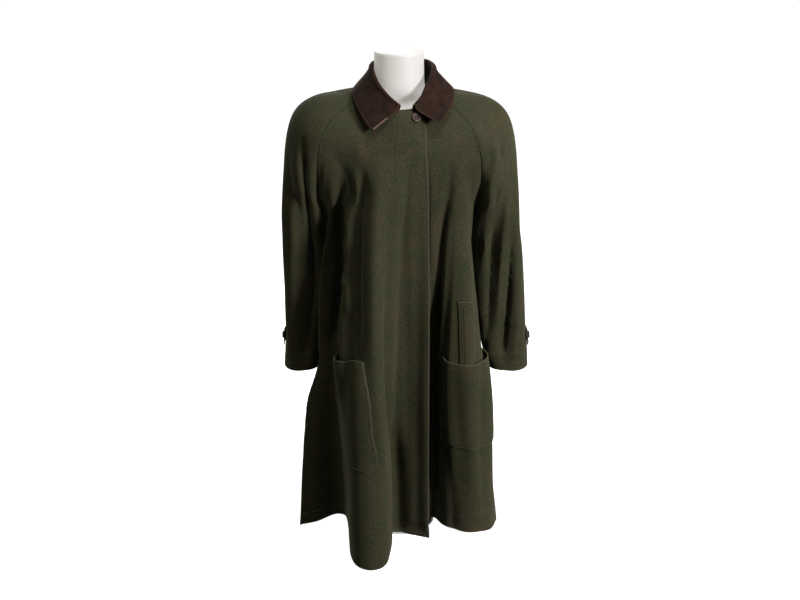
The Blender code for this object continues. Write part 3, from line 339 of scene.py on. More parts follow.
# How the deep fold's outer side is filled out, so that it ends in a folded edge: heights,
# the edge's place as a share of the front's width, how far the filling reaches along the
# cloth from there, and how far it lies out and ahead
FoldEdge = namedtuple("FoldEdge", "z share reach out ahead")
FOLD_EDGE = rows_of(
    FoldEdge,
    (0.200, 0.560, 0.050, 0.000, 0.000),
    (0.360, 0.570, 0.050, 0.004, 0.004),
    (0.494, 0.575, 0.052, 0.020, 0.012),
    (0.600, 0.585, 0.052, 0.020, 0.012),
    (0.660, 0.600, 0.052, 0.016, 0.012),
    (0.728, 0.605, 0.052, 0.016, 0.012),
    (0.790, 0.630, 0.050, 0.009, 0.011),
    (0.850, 0.700, 0.050, 0.002, 0.008),
    (0.930, 0.720, 0.050, 0.000, 0.000),
)

# Lesser folds. The position is the distance from the centre line along the cloth before
# folding, at the hem and at the fold's top. Depth is out of the body, and it grows from
# nothing at top_z to its full size at full_z.
Fold = namedtuple("Fold", "at_hem at_top width_hem width_top top_z full_z depth")
FOLDS = {
    "front_right": (
        Fold(0.200, 0.165, 0.034, 0.024, 0.860, 0.600, 0.006),
    ),
    "front_left": (
        Fold(-0.145, 0.115, 0.050, 0.035, 0.930, 0.780, -0.010),
        Fold(0.150, 0.170, 0.040, 0.026, 0.880, 0.650, 0.007),
    ),
    "back": (
        Fold(0.000, 0.000, 0.040, 0.030, 0.760, 0.100, -0.014),
        Fold(0.085, 0.070, 0.042, 0.032, 0.800, 0.080, 0.026),
        Fold(0.160, 0.120, 0.034, 0.028, 0.700, 0.100, -0.022),
        Fold(0.230, 0.175, 0.036, 0.030, 0.500, 0.100, 0.018),
        Fold(-0.070, -0.055, 0.036, 0.030, 0.720, 0.080, 0.018),
        Fold(-0.142, -0.105, 0.038, 0.028, 0.780, 0.100, -0.020),
        Fold(-0.215, -0.160, 0.040, 0.032, 0.500, 0.100, 0.024),
    ),
}

# Folds of a sleeve half: across it (0 at the body's side, 1 at the overarm seam) at the
# fold's top and bottom, half its width across, its top and bottom height, and its depth
Crease = namedtuple("Crease", "across_top across_low width top_z low_z depth")
SLEEVE_CREASES = {
    "sleeve_front": (
        Crease(0.55, 0.46, 0.13, 0.940, 0.470, -0.012),
        Crease(0.78, 0.74, 0.10, 0.900, 0.520, 0.006),
        Crease(0.26, 0.22, 0.10, 0.860, 0.560, 0.006),
    ),
    "sleeve_back": (
        Crease(0.52, 0.58, 0.12, 0.900, 0.500, -0.009),
        Crease(0.28, 0.30, 0.10, 0.840, 0.480, 0.005),
    ),
}

# The collar from its front end to the centre back: how far along the neckline, then its
# roll line's top, the roll's radius and its outer edge. The wearer's right leaf lies
# nearer the centre line than the left one.
CollarRow = namedtuple("CollarRow", "along roll roll_r edge")
COLLAR_RIGHT = rows_of(
    CollarRow,
    (0.000, (-0.0010, -0.0985, 1.0270), 0.0024, (0.0530, -0.1230, 0.9800)),
    (0.160, (0.0240, -0.0830, 1.0450), 0.0030, (0.0690, -0.1070, 0.9970)),
    (0.340, (0.0470, -0.0490, 1.0690), 0.0036, (0.0870, -0.0730, 1.0220)),
    (0.540, (0.0580, -0.0010, 1.0900), 0.0040, (0.0985, -0.0130, 1.0400)),
    (0.760, (0.0480, 0.0480, 1.0930), 0.0042, (0.0860, 0.0810, 1.0420)),
    (1.000, (0.0000, 0.0700, 1.0950), 0.0042, (0.0000, 0.1140, 1.0260)),
)
COLLAR_LEFT = rows_of(
    CollarRow,
    (0.000, (0.0310, -0.0985, 1.0270), 0.0024, (0.0820, -0.1210, 0.9970)),
    (0.160, (0.0470, -0.0830, 1.0420), 0.0030, (0.0980, -0.0970, 1.0100)),
    (0.340, (0.0600, -0.0500, 1.0640), 0.0036, (0.1110, -0.0600, 1.0280)),
    (0.540, (0.0730, -0.0010, 1.0870), 0.0042, (0.1155, -0.0080, 1.0430)),
    (0.760, (0.0600, 0.0480, 1.0920), 0.0042, (0.0960, 0.0790, 1.0430)),
    (1.000, (0.0000, 0.0700, 1.0950), 0.0042, (0.0000, 0.1140, 1.0260)),
)
COLLAR_COLUMNS = 250    # on each side of the centre back
STAND_CELLS, ROLL_CELLS, FALL_CELLS = 7, 10, 26
STAND_GAP = 0.0006      # under the stand, along the neckline

# Dress form's rings: height, half width, depth in front of and behind the ring's axis
Ring = namedtuple("Ring", "z half_x front_y back_y power")
FORM_RINGS = rows_of(
    Ring,
    (0.560, 0.102, -0.050, 0.092, 2.2),
    (0.565, 0.108, -0.056, 0.098, 2.2),
    (0.620, 0.112, -0.060, 0.096, 2.2),
    (0.690, 0.108, -0.062, 0.086, 2.2),
    (0.770, 0.124, -0.078, 0.088, 2.2),
    (0.850, 0.144, -0.094, 0.102, 2.3),
    (0.910, 0.154, -0.094, 0.106, 2.4),
    (0.950, 0.159, -0.088, 0.100, 2.4),
    (0.980, 0.163, -0.074, 0.090, 2.4),
    (1.004, 0.160, -0.058, 0.072, 2.3),
    (1.0200, 0.148, -0.046, 0.056, 2.1),
    (1.0285, 0.122, -0.042, 0.048, 2.0),
    (1.0333, 0.090, -0.044, 0.049, 2.0),
    (1.0395, 0.066, -0.049, 0.052, 2.0),
    (1.056, 0.0535, -0.0525, 0.0530, 2.0),
    (1.108, 0.052, -0.0520, 0.0520, 2.0),
    (1.122, 0.052, -0.0520, 0.0520, 2.0),
    (1.126, 0.049, -0.0490, 0.0490, 2.0),
)


def table_curve(xs, ys, x):
    """A smooth curve through a table's rows, with no overshoot between them."""
    xs, ys = np.asarray(xs, float), np.asarray(ys, float)
    step = np.diff(xs)
    slope = np.diff(ys) / step
    tangent = np.zeros(len(xs))
    tangent[0], tangent[-1] = slope[0], slope[-1]
    same_way = slope[:-1] * slope[1:] > 0
    mean = 2 * slope[:-1] * slope[1:] / np.where(same_way, slope[:-1] + slope[1:], 1.0)
    tangent[1:-1] = np.where(same_way, mean, 0.0)
    x = np.clip(x, xs[0], xs[-1])
    i = np.clip(np.searchsorted(xs, x) - 1, 0, len(step) - 1)
    t = (x - xs[i]) / step[i]
    rise = (3 - 2 * t) * t * t
    return (
        ys[i] * (1 - rise)
        + ys[i + 1] * rise
        + step[i] * t * (1 - t) * ((1 - t) * tangent[i] - t * tangent[i + 1])
    )


def row_at(rows, key, value):
    """A table's row at any value of its column key, each other column on its own curve."""
    keys = [getattr(row, key) for row in rows]
    order = 1 if keys[0] < keys[-1] else -1
    found = {}
    for name in rows[0]._fields:
        column = [getattr(row, name) for row in rows][::order]
        found[name] = float(table_curve(keys[::order], column, value))
    return type(rows[0])(**found)


def through(points, t):
    """A point on the curve through these points, t counted in points from the first."""
    points = np.asarray(points, float)
    if points.ndim == 1:
        return float(table_curve(range(len(points)), points, t))
    return np.array([table_curve(range(len(points)), p, t) for p in points.T])


def column_at(rows, name, t):
    """A table's column on the curve through its rows, t counted in rows from the first."""
    return through([getattr(row, name) for row in rows], t)


def unit(vectors):
    vectors = np.asarray(vectors, float)
    return vectors / np.maximum(np.linalg.norm(vectors, axis=-1, keepdims=True), 1e-12)


def smooth_step(t):
    t = np.clip(t, 0.0, 1.0)
    return t * t * (3 - 2 * t)


def arc(start, leave, end, arrive, v):
    """The cubic from start, leaving along one vector, to end, arriving along another."""
    v = np.asarray(v, float)[:, None]
    return (
        (2 * v**3 - 3 * v**2 + 1) * start
        + (v**3 - 2 * v**2 + v) * leave
        + (3 * v**2 - 2 * v**3) * end
        + (v**3 - v**2) * arrive
    )


def lengths(points):
    """Length along a line of points, from its first."""
    steps = np.linalg.norm(np.diff(points, axis=0), axis=1)
    return np.concatenate([[0.0], np.cumsum(steps)])


def resampled(points, shares):
    """Points of a line at these shares of its length."""
    along = lengths(points)
    wanted = np.asarray(shares) * along[-1]
    return np.column_stack([np.interp(wanted, along, points[:, i]) for i in range(3)])


def skirt_ends(z, side):
    """Centre point, side point and arriving vector of a skirt row. Side is front or back."""
    row = row_at(SKIRT, "z", z)
    centre_y = row.front_y if side == "front" else row.back_y
    centre = np.array([0.0, centre_y, z])
    end = np.array([row.side_x, row.side_y, z])
    pull = ROUNDNESS * abs(row.side_y - centre_y)
    swell = LOBE_PULL * row.lobe * (1.0 if side == "front" else BACK_LOBE_SHARE)
    arrive = np.array([-swell, math.copysign(pull, -centre_y), 0.0])
    leave = np.array([ROUNDNESS * row.side_x, 0.0, 0.0])
    return centre, leave, end, arrive


def raglan_ends(t, side):
    """The same for a row that ends on the raglan seam, t rows above the underarm."""
    rows = RAGLAN_FRONT if side == "front" else RAGLAN_BACK
    end = column_at(rows, "seam", t)
    way = unit(column_at(rows, "body_way", t))
    centre = np.array([0.0, column_at(rows, "centre_y", t), column_at(rows, "centre_z", t)])
    chord = np.linalg.norm(end - centre)
    tightness = 1.17 - 0.12 * smooth_step(t / 3)
    leave = np.array([tightness * chord, 0.0, 0.0])
    if t < 1:
        skirt = skirt_ends(SKIRT[-1].z, side)
        leave = leave * t + skirt[1] * (1 - t)
        return centre, leave, end, way * tightness * chord * t + skirt[3] * (1 - t)
    return centre, leave, end, way * tightness * chord


def fold_push(folds, along, z):
    """How far the folds push a row's points out, by their distance along the cloth."""
    push = np.zeros(len(along))
    for fold in folds:
        down = np.clip((fold.top_z - z) / (fold.top_z - HEM_Z), 0.0, 1.0)
        centre = fold.at_top + (fold.at_hem - fold.at_top) * down
        width = fold.width_top + (fold.width_hem - fold.width_top) * down
        grown = smooth_step((fold.top_z - z) / (fold.top_z - fold.full_z))
        push += fold.depth * grown * np.exp(-np.abs((along - centre) / width) ** 2.6)
    return push


def body_row(level, panel):
    """A dense row of a panel with x > 0 on its own side, folds and hem included, and the
    distance of each point from the centre line. Level is a height, or (t,) on the raglan."""
    side = "back" if panel == "back" else "front"
    on_raglan = isinstance(level, tuple)
    ends = raglan_ends(level[0], side) if on_raglan else skirt_ends(level, side)
    dense = np.linspace(0.0, 1.0, 161)
    half = arc(*ends, dense)
    base = np.concatenate([half[:0:-1] * (-1, 1, 1), half])
    along = lengths(base)
    along = along - along[len(half) - 1]
    way = unit(np.gradient(base, axis=0))
    turn = 1.0 if side == "front" else -1.0
    out = unit(np.column_stack([way[:, 1] * turn, -way[:, 0] * turn, np.zeros(len(way))]))
    push = fold_push(FOLDS[panel], along, base[:, 2].mean())
    if panel == "front_left":
        last = min(0.125, along[-1] - 0.006)
        push = push - LAYER_DROP * (1 - smooth_step((along - 0.064) / (last - 0.064)))
    return base + out * push[:, None], along


def between(levels, rows_each):
    """These levels with more between them."""
    spans = [np.linspace(a, b, rows_each + 1)[:-1] for a, b in zip(levels, levels[1:])]
    return [float(z) for z in np.concatenate(spans)] + [levels[-1]]


def body_levels():
    """Every row of a body panel: skirt heights, then steps up the raglan seam."""
    steps = np.linspace(0.0, len(RIDGE) - 1, RAGLAN_STEPS + 1)[1:]
    return between(SKIRT_LEVELS, ROWS_EACH) + [(float(t),) for t in steps]


def smooth_line(points, count):
    """Evenly spaced points on a smooth curve through these ones."""
    points = np.asarray(points, float)
    along = lengths(points)
    dense = np.linspace(0.0, along[-1], 12 * len(points))
    curve = np.column_stack([table_curve(along, points[:, i], dense) for i in range(3)])
    return resampled(curve, np.linspace(0.0, 1.0, count))


HEM_PULL = {}


def front_row(level, panel, edge):
    """A dense row of a front from its free edge to the side or raglan seam. The hem's own
    line pulls it out of its unfolded course, less and less from the hem upward."""
    count = 241

    def unfolded(height):
        row, along = body_row(height, panel)
        start = np.array([np.interp(edge, along, row[:, i]) for i in range(3)])
        return resampled(np.vstack([start, row[along > edge]]), np.linspace(0, 1, count))

    row = unfolded(level)
    if panel not in HEM_PULL:
        HEM_PULL[panel] = smooth_line(FRONT_HEMS[panel], count) - unfolded(HEM_Z)
    pull = HEM_PULL[panel]
    down = (HEM_FOLDS_TOP_Z - row[:, 2]) / (HEM_FOLDS_TOP_Z - HEM_Z)
    grown = np.clip(down, 0.0, 1.0)[:, None] ** (0.45, 0.7, 3.0)
    row = row + pull * grown
    return row + fold_edge_push(row[:, 2]) if panel == "front_right" else row


def fold_edge_push(heights):
    """How far the deep fold's outer side is moved, at evenly spaced points of a row."""
    zs = [edge.z for edge in FOLD_EDGE]
    share, reach, out, ahead = (
        np.interp(heights, zs, [getattr(edge, name) for edge in FOLD_EDGE])
        for name in ("share", "reach", "out", "ahead")
    )
    near = np.exp(-(((np.linspace(0.0, 1.0, len(heights)) - share) / reach) ** 2))
    return np.column_stack([out * near, -ahead * near, np.zeros(len(heights))])


def front_shares(row, cells, width, centre):
    """Shares of a front's width at its grid's columns, with the pocket's edges among them."""
    start_cells, end_cells = cells
    whole = lengths(row)[-1]
    half = width / 2 / whole
    first, last = centre - half, centre + half
    edge = np.array(EDGE_STEPS) / whole
    before = np.linspace(0.0107 / whole, first, start_cells + 1)[:-1]
    before = np.concatenate([edge, before])
    pocket = np.linspace(first, last, POCKET_COLUMNS + 1)
    after = np.linspace(last, 1.0, end_cells + 1)[1:]
    return np.concatenate([before, pocket, after])


def front_grid(panel, edge, cells, patch):
    """Outer points of a front. Above the pocket each column keeps its share of the width."""
    rows = []
    for level in body_levels():
        row = front_row(level, panel, edge)
        if not isinstance(level, tuple) and level <= patch.mouth_z:
            up = np.clip((level - POCKET_BOTTOM_Z) / (patch.mouth_z - POCKET_BOTTOM_Z), 0, 1)
            centre = patch.centre_low + (patch.centre_top - patch.centre_low) * up
            shares = front_shares(row, cells, patch.width, centre)
        rows.append(resampled(row, shares))
    return np.array(rows)


def back_grid():
    """Outer points of the whole back, from the side seam at +X to the one at -X. A seam
    down its middle makes two panels of it."""
    shares = np.linspace(1.0, 0.0, 2 * BACK_COLUMNS + 1)
    return np.array([resampled(body_row(level, "back")[0], shares) for level in body_levels()])


def sleeve_ends(level, half, side):
    """Seam point, leaving vector, overarm point and arriving vector of a sleeve's row."""
    front = half == "sleeve_front"
    away = -1.0 if front else 1.0
    if isinstance(level, tuple):
        t = level[0]
        rows = RAGLAN_FRONT if front else RAGLAN_BACK
        seam = column_at(rows, "seam", t)
        way = unit(column_at(rows, "sleeve_way", t))
        over = column_at(RIDGE, "over", t)
        apart = OVER_APART / 2 * (1 - smooth_step(t / (len(RIDGE) - 1)) ** 2)
        over = over + (apart if side == "left" else -apart, 0, 0)
        seam = seam + (UNDERARM_GAP * (1 - smooth_step(t / 4)), 0, 0)
        leave = way * column_at(RIDGE, "leave", t)
        arrive = np.array([0.0, -away, 0.0]) * column_at(RIDGE, "arrive", t)
        return seam, leave, over, arrive
    row = row_at(ARM, "z", level)
    inner, outer = (
        (row.inner_right, row.outer_right) if side == "right" else (row.inner_left, row.outer_left)
    )
    bulge = np.array([0.0, 4 * row.depth * away, 0.0])
    return np.array([inner, row.y, level]), bulge, np.array([outer, row.y, level]), -bulge


def sleeve_levels():
    """Rows of a sleeve, from the neck down the raglan seam and on to the cuff."""
    steps = np.linspace(len(RIDGE) - 1, 0.0, RAGLAN_STEPS + 1)
    below = between((SKIRT[-1].z, *ARM_LEVELS), SLEEVE_ROWS_EACH)
    return [(float(t),) for t in steps] + below[1:]


def sleeve_grid(half, side):
    """Outer points of a sleeve half with x > 0, from the body's side to the overarm seam."""
    shares = np.linspace(0.0, 1.0, SLEEVE_COLUMNS + 1)
    rows = [
        resampled(arc(*sleeve_ends(level, half, side), np.linspace(0, 1, 81)), shares)
        for level in sleeve_levels()
    ]
    grid = np.array(rows)
    out = grid_normals(grid, grid_faces_out(grid, half))
    for crease in SLEEVE_CREASES[half]:
        down = (crease.top_z - grid[..., 2]) / (crease.top_z - crease.low_z)
        inside = np.clip(down, 0.0, 1.0)
        centre = crease.across_top + (crease.across_low - crease.across_top) * inside
        across = np.exp(-(((shares[None, :] - centre) / crease.width) ** 2))
        fades = smooth_step(down * 4) * smooth_step((1.25 - down) * 4)
        held = np.minimum(1.0, 5 * np.minimum(shares, 1 - shares))[None, :]
        grid = grid + out * (crease.depth * across * fades * held)[..., None]
    return grid


def grid_faces_out(grid, kind):
    """+1 or -1, to make this grid's normals point out of the garment."""
    row = len(grid) - 3 if kind.startswith("sleeve") else len(grid) // 3
    normal = grid_normals(grid, 1.0)[row, grid.shape[1] // 2]
    return 1.0 if (normal[1] > 0) == kind.endswith("back") else -1.0


def grid_normals(grid, sign):
    """Unit normals at a grid's points."""
    return unit(np.cross(np.gradient(grid, axis=0), np.gradient(grid, axis=1))) * sign


def share_normals(first, first_at, second, second_at):
    """Gives two panels one normal along their seam where the cloth runs on smoothly."""
    a, b = first[first_at], second[second_at]
    smooth = (a * b).sum(-1, keepdims=True) > 0.0
    mean = unit(a + b)
    first[first_at] = np.where(smooth, mean, a)
    second[second_at] = np.where(smooth, mean, b)


def neckline(side, start):
    """The line of the neck seam from the collar's front end to the centre back, x > 0."""
    top = (float(len(RIDGE) - 1),)
    front, along = body_row(top, f"front_{side}")
    v = np.linspace(0.0, 1.0, 41)
    parts = [front[along >= start]]
    parts.append(arc(*sleeve_ends(top, "sleeve_front", side), v)[1:])
    parts.append(arc(*sleeve_ends(top, "sleeve_back", side), v)[::-1][1:])
    back, along = body_row(top, "back")
    parts.append(back[along >= 0][::-1][1:])
    return np.vstack(parts)


def collar_half(side):
    """Middle surface of half a collar, x > 0, from the neck seam over the roll to its edge."""
    table = COLLAR_RIGHT if side == "right" else COLLAR_LEFT
    seam = neckline(side, table[0].roll[0])
    keys = [row.along for row in table]

    def at(name):
        column = np.array([getattr(row, name) for row in table])
        if column.ndim == 1:
            return float(table_curve(keys, column, along))
        return np.array([table_curve(keys, part, along) for part in column.T])

    rows = []
    for along in np.linspace(0.0, 1.0, COLLAR_COLUMNS + 1):
        base = resampled(seam, [along])[0] + (0, 0, STAND_GAP + CLOTH * 0.2)
        roll, edge, radius = at("roll"), at("edge"), at("roll_r")
        outward = unit((edge - roll) * (1, 1, 0))
        base = base - unit(base * (1, 1, 0)) * (CLOTH / 2)
        rise = roll - outward * radius - base
        stand = base + np.linspace(0, 1, STAND_CELLS + 1)[:, None] * rise
        turn = np.linspace(math.pi, 0.0, ROLL_CELLS + 1)[1:, None]
        bend = roll + radius * (outward * np.cos(turn) + np.array([0, 0, 1]) * np.sin(turn))
        reach = np.linalg.norm(edge - roll)
        leave = np.array([0.0, 0.0, -0.55 * reach])
        fall = arc(bend[-1], leave, edge, edge - roll, np.linspace(0, 1, FALL_CELLS + 1))
        rows.append(np.vstack([stand, bend, fall[1:]]))
    return np.array(rows)


class Panel:
    """A grid of points on the outer face of a piece of cloth, and the normals there."""

    def __init__(self, points, out):
        self.points = points
        self.out = out

    def renormal(self):
        """Works the normals out again after points have moved."""
        found = unit(
            np.cross(np.gradient(self.points, axis=0), np.gradient(self.points, axis=1))
        )
        sign = np.sign((found * self.out).sum(-1, keepdims=True))
        self.out = found * np.where(sign == 0, 1, sign)

    def at(self, i, j):
        """Point and normal at any row and column, whole or not."""
        rows, columns = self.points.shape[:2]
        i, j = min(max(i, 0), rows - 1.001), min(max(j, 0), columns - 1.001)
        a, b = int(i), int(j)
        u, v = i - a, j - b
        found = []
        for grid in (self.points, self.out):
            found.append(
                grid[a, b] * (1 - u) * (1 - v) + grid[a + 1, b] * u * (1 - v)
                + grid[a, b + 1] * (1 - u) * v + grid[a + 1, b + 1] * u * v
            )
        return found[0], unit(found[1])

    def reach(self, axis):
        steps = np.linalg.norm(np.diff(self.points, axis=axis), axis=-1)
        return np.insert(np.cumsum(steps, axis=axis), 0, 0.0, axis=axis)

    def across(self):
        """Distance of each point along its row from the first column."""
        return self.reach(1)

    def down(self):
        """Distance of each point along its column from the first row."""
        return self.reach(0)


TILT = math.radians(CAMERA_TILT)
AHEAD = np.array([0.0, math.sin(TILT), -math.cos(TILT)])
UPWARD = np.array([0.0, math.cos(TILT), math.sin(TILT)])
FOCAL = LENS / SENSOR * PICTURE[0]


def seen(points):
    """Where points lie in the photograph, in its pixels."""
    away = np.asarray(points) - CAMERA_AT
    depth = away @ AHEAD
    x = PICTURE[0] / 2 + FOCAL * away[..., 0] / depth
    y = PICTURE[1] / 2 - FOCAL * (away @ UPWARD) / depth
    return np.stack([x, y], axis=-1)


def under_pixel(panel, pixel):
    """Row and column of the panel's point that shows at a pixel of the photograph."""
    pixel = np.array(pixel, float)
    pixels = seen(panel.points)
    toward = np.array(CAMERA_AT) - panel.points
    faces = (toward * panel.out).sum(-1) > 0
    miss = np.linalg.norm(pixels - pixel, axis=-1)
    depth = np.linalg.norm(toward, axis=-1)
    near = miss + np.where(faces, 0, 30) + (depth - depth.min()) * 8
    i, j = np.unravel_index(int(np.argmin(near)), near.shape)
    i, j = float(i), float(j)
    for _ in range(4):
        here = seen(panel.at(i, j)[0])
        di = seen(panel.at(i + 0.5, j)[0]) - seen(panel.at(i - 0.5, j)[0])
        dj = seen(panel.at(i, j + 0.5)[0]) - seen(panel.at(i, j - 0.5)[0])
        turn = np.column_stack([di, dj])
        if abs(np.linalg.det(turn)) < 1e-3:
            break
        step = np.clip(np.linalg.solve(turn, pixel - here), -2, 2)
        i = min(max(i + step[0], 0), panel.points.shape[0] - 1)
        j = min(max(j + step[1], 0), panel.points.shape[1] - 1)
    return i, j


def nearest_on(points, line):
    """Distance from each point to a line of points, and the place along it."""
    best = np.full(points.shape[:-1], 1e9)
    place = np.zeros(points.shape[:-1])
    for k, (a, b) in enumerate(zip(line, line[1:])):
        way = b - a
        t = np.clip(((points - a) @ way) / max(way @ way, 1e-12), 0, 1)
        gap = np.linalg.norm(points - a - t[..., None] * way, axis=-1)
        closer = gap < best
        best = np.where(closer, gap, best)
        place = np.where(closer, k + t, place)
    return best, place


def spline(line, each=5):
    """A finer line through these points."""
    line = np.asarray(line, float)
    if len(line) < 3:
        return line
    t = np.linspace(0, len(line) - 1, each * (len(line) - 1) + 1)
    return np.array([table_curve(range(len(line)), line[:, i], t) for i in range(3)]).T


def lay_crease(panel, line, heights, left, right):
    """Raises the cloth along a line by these heights, falling off to its two sides. The
    heights and widths are in millimetres."""
    heights, left, right = np.array(heights) / 1000, left / 1000, right / 1000
    smooth = spline(line)
    gap, place = nearest_on(panel.points, smooth)
    scale = (len(line) - 1) / (len(smooth) - 1)
    height = np.interp(place * scale, range(len(heights)), heights)
    way = unit(np.gradient(smooth, axis=0))
    at = np.clip(place.astype(int), 0, len(smooth) - 1)
    beside = np.cross(way[at], panel.out)
    off = ((panel.points - smooth[at]) * beside).sum(-1)
    width = np.where(off > 0, right, left)
    blend = (left + right) / 2 + off / (2 * CREASE_MIDDLE) * (right - left)
    width = np.where(np.abs(off) < CREASE_MIDDLE, blend, width)
    panel.points = panel.points + panel.out * (height * np.exp(-(gap / width) ** 2))[..., None]


def lay_roughness(panel, size, height, seed, keep_edges):
    """Slight unevenness of the hanging cloth, none at its edges."""
    flat = panel.points.reshape(-1, 3)
    wave = np.array([
        noise.noise(Vector((p[0] / size + seed, p[1] / size, p[2] / size / 1.7))) for p in flat
    ]).reshape(panel.points.shape[:2])
    across, down = panel.across(), panel.down()
    edge = np.minimum.reduce([across, across[:, -1:] - across, down, down[-1:] - down])
    rise = wave * height * smooth_step(edge / keep_edges)
    panel.points = panel.points + panel.out * rise[..., None]


def add_object(name, data):
    """A new object in the scene."""
    made = bpy.data.objects.new(name, data)
    bpy.context.scene.collection.objects.link(made)
    return made


def new_mesh(name, points, faces, finishes, smooth_to=60.0, marks=None, face_finish=None):
    """A piece from points and faces."""
    mesh = bpy.data.meshes.new(name)
    mesh.from_pydata([tuple(p) for p in points], [], faces)
    for finish in finishes:
        mesh.materials.append(finish)
    if face_finish is not None:
        mesh.polygons.foreach_set("material_index", np.asarray(face_finish, dtype=np.int32))
    for label, values in (marks or {}).items():
        mark = mesh.attributes.new(label, "FLOAT", "POINT")
        mark.data.foreach_set("value", np.asarray(values, dtype=np.float32))
    mesh.update()
    mesh.shade_smooth()
    mesh.set_sharp_from_angle(angle=math.radians(smooth_to))
    return add_object(name, mesh)


def ring_of(rows, columns):
    """A grid's border, once round."""
    border = [(i, 0) for i in range(rows)]
    border += [(rows - 1, j) for j in range(1, columns)]
    border += [(i, columns - 1) for i in range(rows - 2, -1, -1)]
    border += [(0, j) for j in range(columns - 2, 0, -1)]
    return border


def shell(name, panel, finishes, marks, roll=0.0006, inner=None):
    """A thin shell of cloth under a panel, its edge rounded by one more ring of points."""
    top = panel.points
    under = top - panel.out * CLOTH if inner is None else inner
    rows, columns = top.shape[:2]
    count = rows * columns
    border = ring_of(rows, columns)
    middle = []
    for i, j in border:
        k = min(max(i, 1), rows - 2)
        m = min(max(j, 1), columns - 2)
        away = unit(top[i, j] - top[k, m])
        middle.append((top[i, j] + under[i, j]) / 2 + away * roll)
    points = np.vstack([top.reshape(-1, 3), under.reshape(-1, 3), middle])
    number = np.arange(count).reshape(rows, columns)
    quads = np.stack([number[:-1, :-1], number[1:, :-1], number[1:, 1:], number[:-1, 1:]], -1)
    quads = quads.reshape(-1, 4)
    way = np.cross(top[1, 0] - top[0, 0], top[0, 1] - top[0, 0])
    if way @ panel.out[0, 0] < 0:
        quads = quads[:, ::-1]
    faces = [tuple(int(v) for v in q) for q in quads]
    faces += [tuple(int(v) + count for v in q[::-1]) for q in quads]
    inside = [0] * len(quads) + [1] * len(quads)
    edges = {(int(q[k]), int(q[(k + 1) % 4])) for q in quads for k in range(4)}
    ring = [int(number[i, j]) for i, j in border]
    for k, (a, b) in enumerate(zip(ring, ring[1:] + ring[:1])):
        m, n = 2 * count + k, 2 * count + (k + 1) % len(ring)
        if (a, b) in edges:
            faces += [(b, a, m, n), (n, m, a + count, b + count)]
        else:
            faces += [(a, b, n, m), (m, n, b + count, a + count)]
        inside += [0, 0]
    spread = {}
    for label, values in marks.items():
        edge = [values[i, j] for i, j in border]
        spread[label] = np.concatenate([values.ravel(), values.ravel(), edge])
    if len(finishes) == 1:
        inside = None
    return new_mesh(name, points, faces, finishes, marks=spread, face_finish=inside)


def finish_piece(piece, slot, *nodes):
    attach(piece, "root")
    if nodes:
        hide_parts(*nodes)


def finish_cloth(piece, node, slot="loden"):
    """Finishes a piece of cloth: hides the solid it replaces and puts it on the root body. Its cut
    is looked up in CUTS and not used.
    """
    finish_piece(piece, slot, node)
    flat, area = CUTS[node]


def stitch_line(line, normals, pitch=0.0042, share=0.74, radius=0.00035, sink=0.3):
    """Points and faces of a row of stitches along a line, each a slim lens of thread."""
    line, normals = np.asarray(line, float), np.asarray(normals, float)
    along = lengths(line)
    points, faces = [], []
    for k in range(int(along[-1] / pitch)):
        start, end = k * pitch + pitch * (1 - share) / 2, (k + 1) * pitch - pitch * (1 - share) / 2
        rings = []
        for at, wide in ((start, 0.0), (start * 0.75 + end * 0.25, 1.0),
                         (start * 0.25 + end * 0.75, 1.0), (end, 0.0)):
            here = np.array([np.interp(at, along, line[:, i]) for i in range(3)])
            up = unit(np.array([np.interp(at, along, normals[:, i]) for i in range(3)]))
            rings.append((here, up, wide))
        way = unit(rings[-1][0] - rings[0][0])
        base = len(points)
        for here, up, wide in rings:
            side = np.cross(way, up)
            lift = radius * (1 - 2 * sink) if wide else -radius
            if not wide:
                points.append(here + up * lift)
                continue
            for a in range(THREAD_SIDES):
                turn = 2 * math.pi * a / THREAD_SIDES
                points.append(here + up * (lift + radius * math.sin(turn))
                              + side * radius * math.cos(turn))
        first = base + 1
        second = first + THREAD_SIDES
        tail = second + THREAD_SIDES
        for a in range(THREAD_SIDES):
            b = (a + 1) % THREAD_SIDES
            faces.append((base, first + a, first + b))
            faces.append((first + a, second + a, second + b, first + b))
            faces.append((second + a, tail, second + b))
    return points, faces


def add_stitches(name, lines, finish, slot="loden", **how):
    """Rows of stitches along these lines, as one piece of thread."""
    points, faces = [], []
    for line, normals in lines:
        more, joined = stitch_line(line, normals, **how)
        faces += [tuple(v + len(points) for v in f) for f in joined]
        points += more
    finish_piece(new_mesh(name, points, faces, [finish]), slot)


def row_line(panel, i, first=0, last=None):
    """A line along one row of a panel, at any height between its rows."""
    last = panel.points.shape[1] - 1 if last is None else last
    found = [panel.at(i, j) for j in np.linspace(first, last, 2 * int(last - first) + 1)]
    return [p for p, _ in found], [n for _, n in found]


def column_line(panel, offset, from_last, first=0, last=None):
    """A line at one distance from a panel's first or last column."""
    last = panel.points.shape[0] - 1 if last is None else last
    across = panel.across()
    points, normals = [], []
    for i in range(int(first), int(last) + 1):
        if from_last:
            j = np.interp(across[i, -1] - offset, across[i], range(across.shape[1]))
        else:
            j = np.interp(offset, across[i], range(across.shape[1]))
        point, normal = panel.at(i, j)
        points.append(point)
        normals.append(normal)
    return points, normals


def pixel_line(panel, pixels, each=6):
    """A line on a panel that shows at these pixels of the photograph."""
    spots = np.array([under_pixel(panel, p) for p in pixels])
    t = np.linspace(0, len(spots) - 1, each * (len(spots) - 1) + 1)
    if len(spots) > 2:
        spots = np.array([table_curve(range(len(spots)), s, t) for s in spots.T]).T
    found = [panel.at(i, j) for i, j in spots]
    return np.array([p for p, _ in found]), np.array([n for _, n in found])


# Sockets of a Mix node that mixes colours
MIX_SHARE, MIX_A, MIX_B, MIX_RESULT = 0, 6, 7, 2


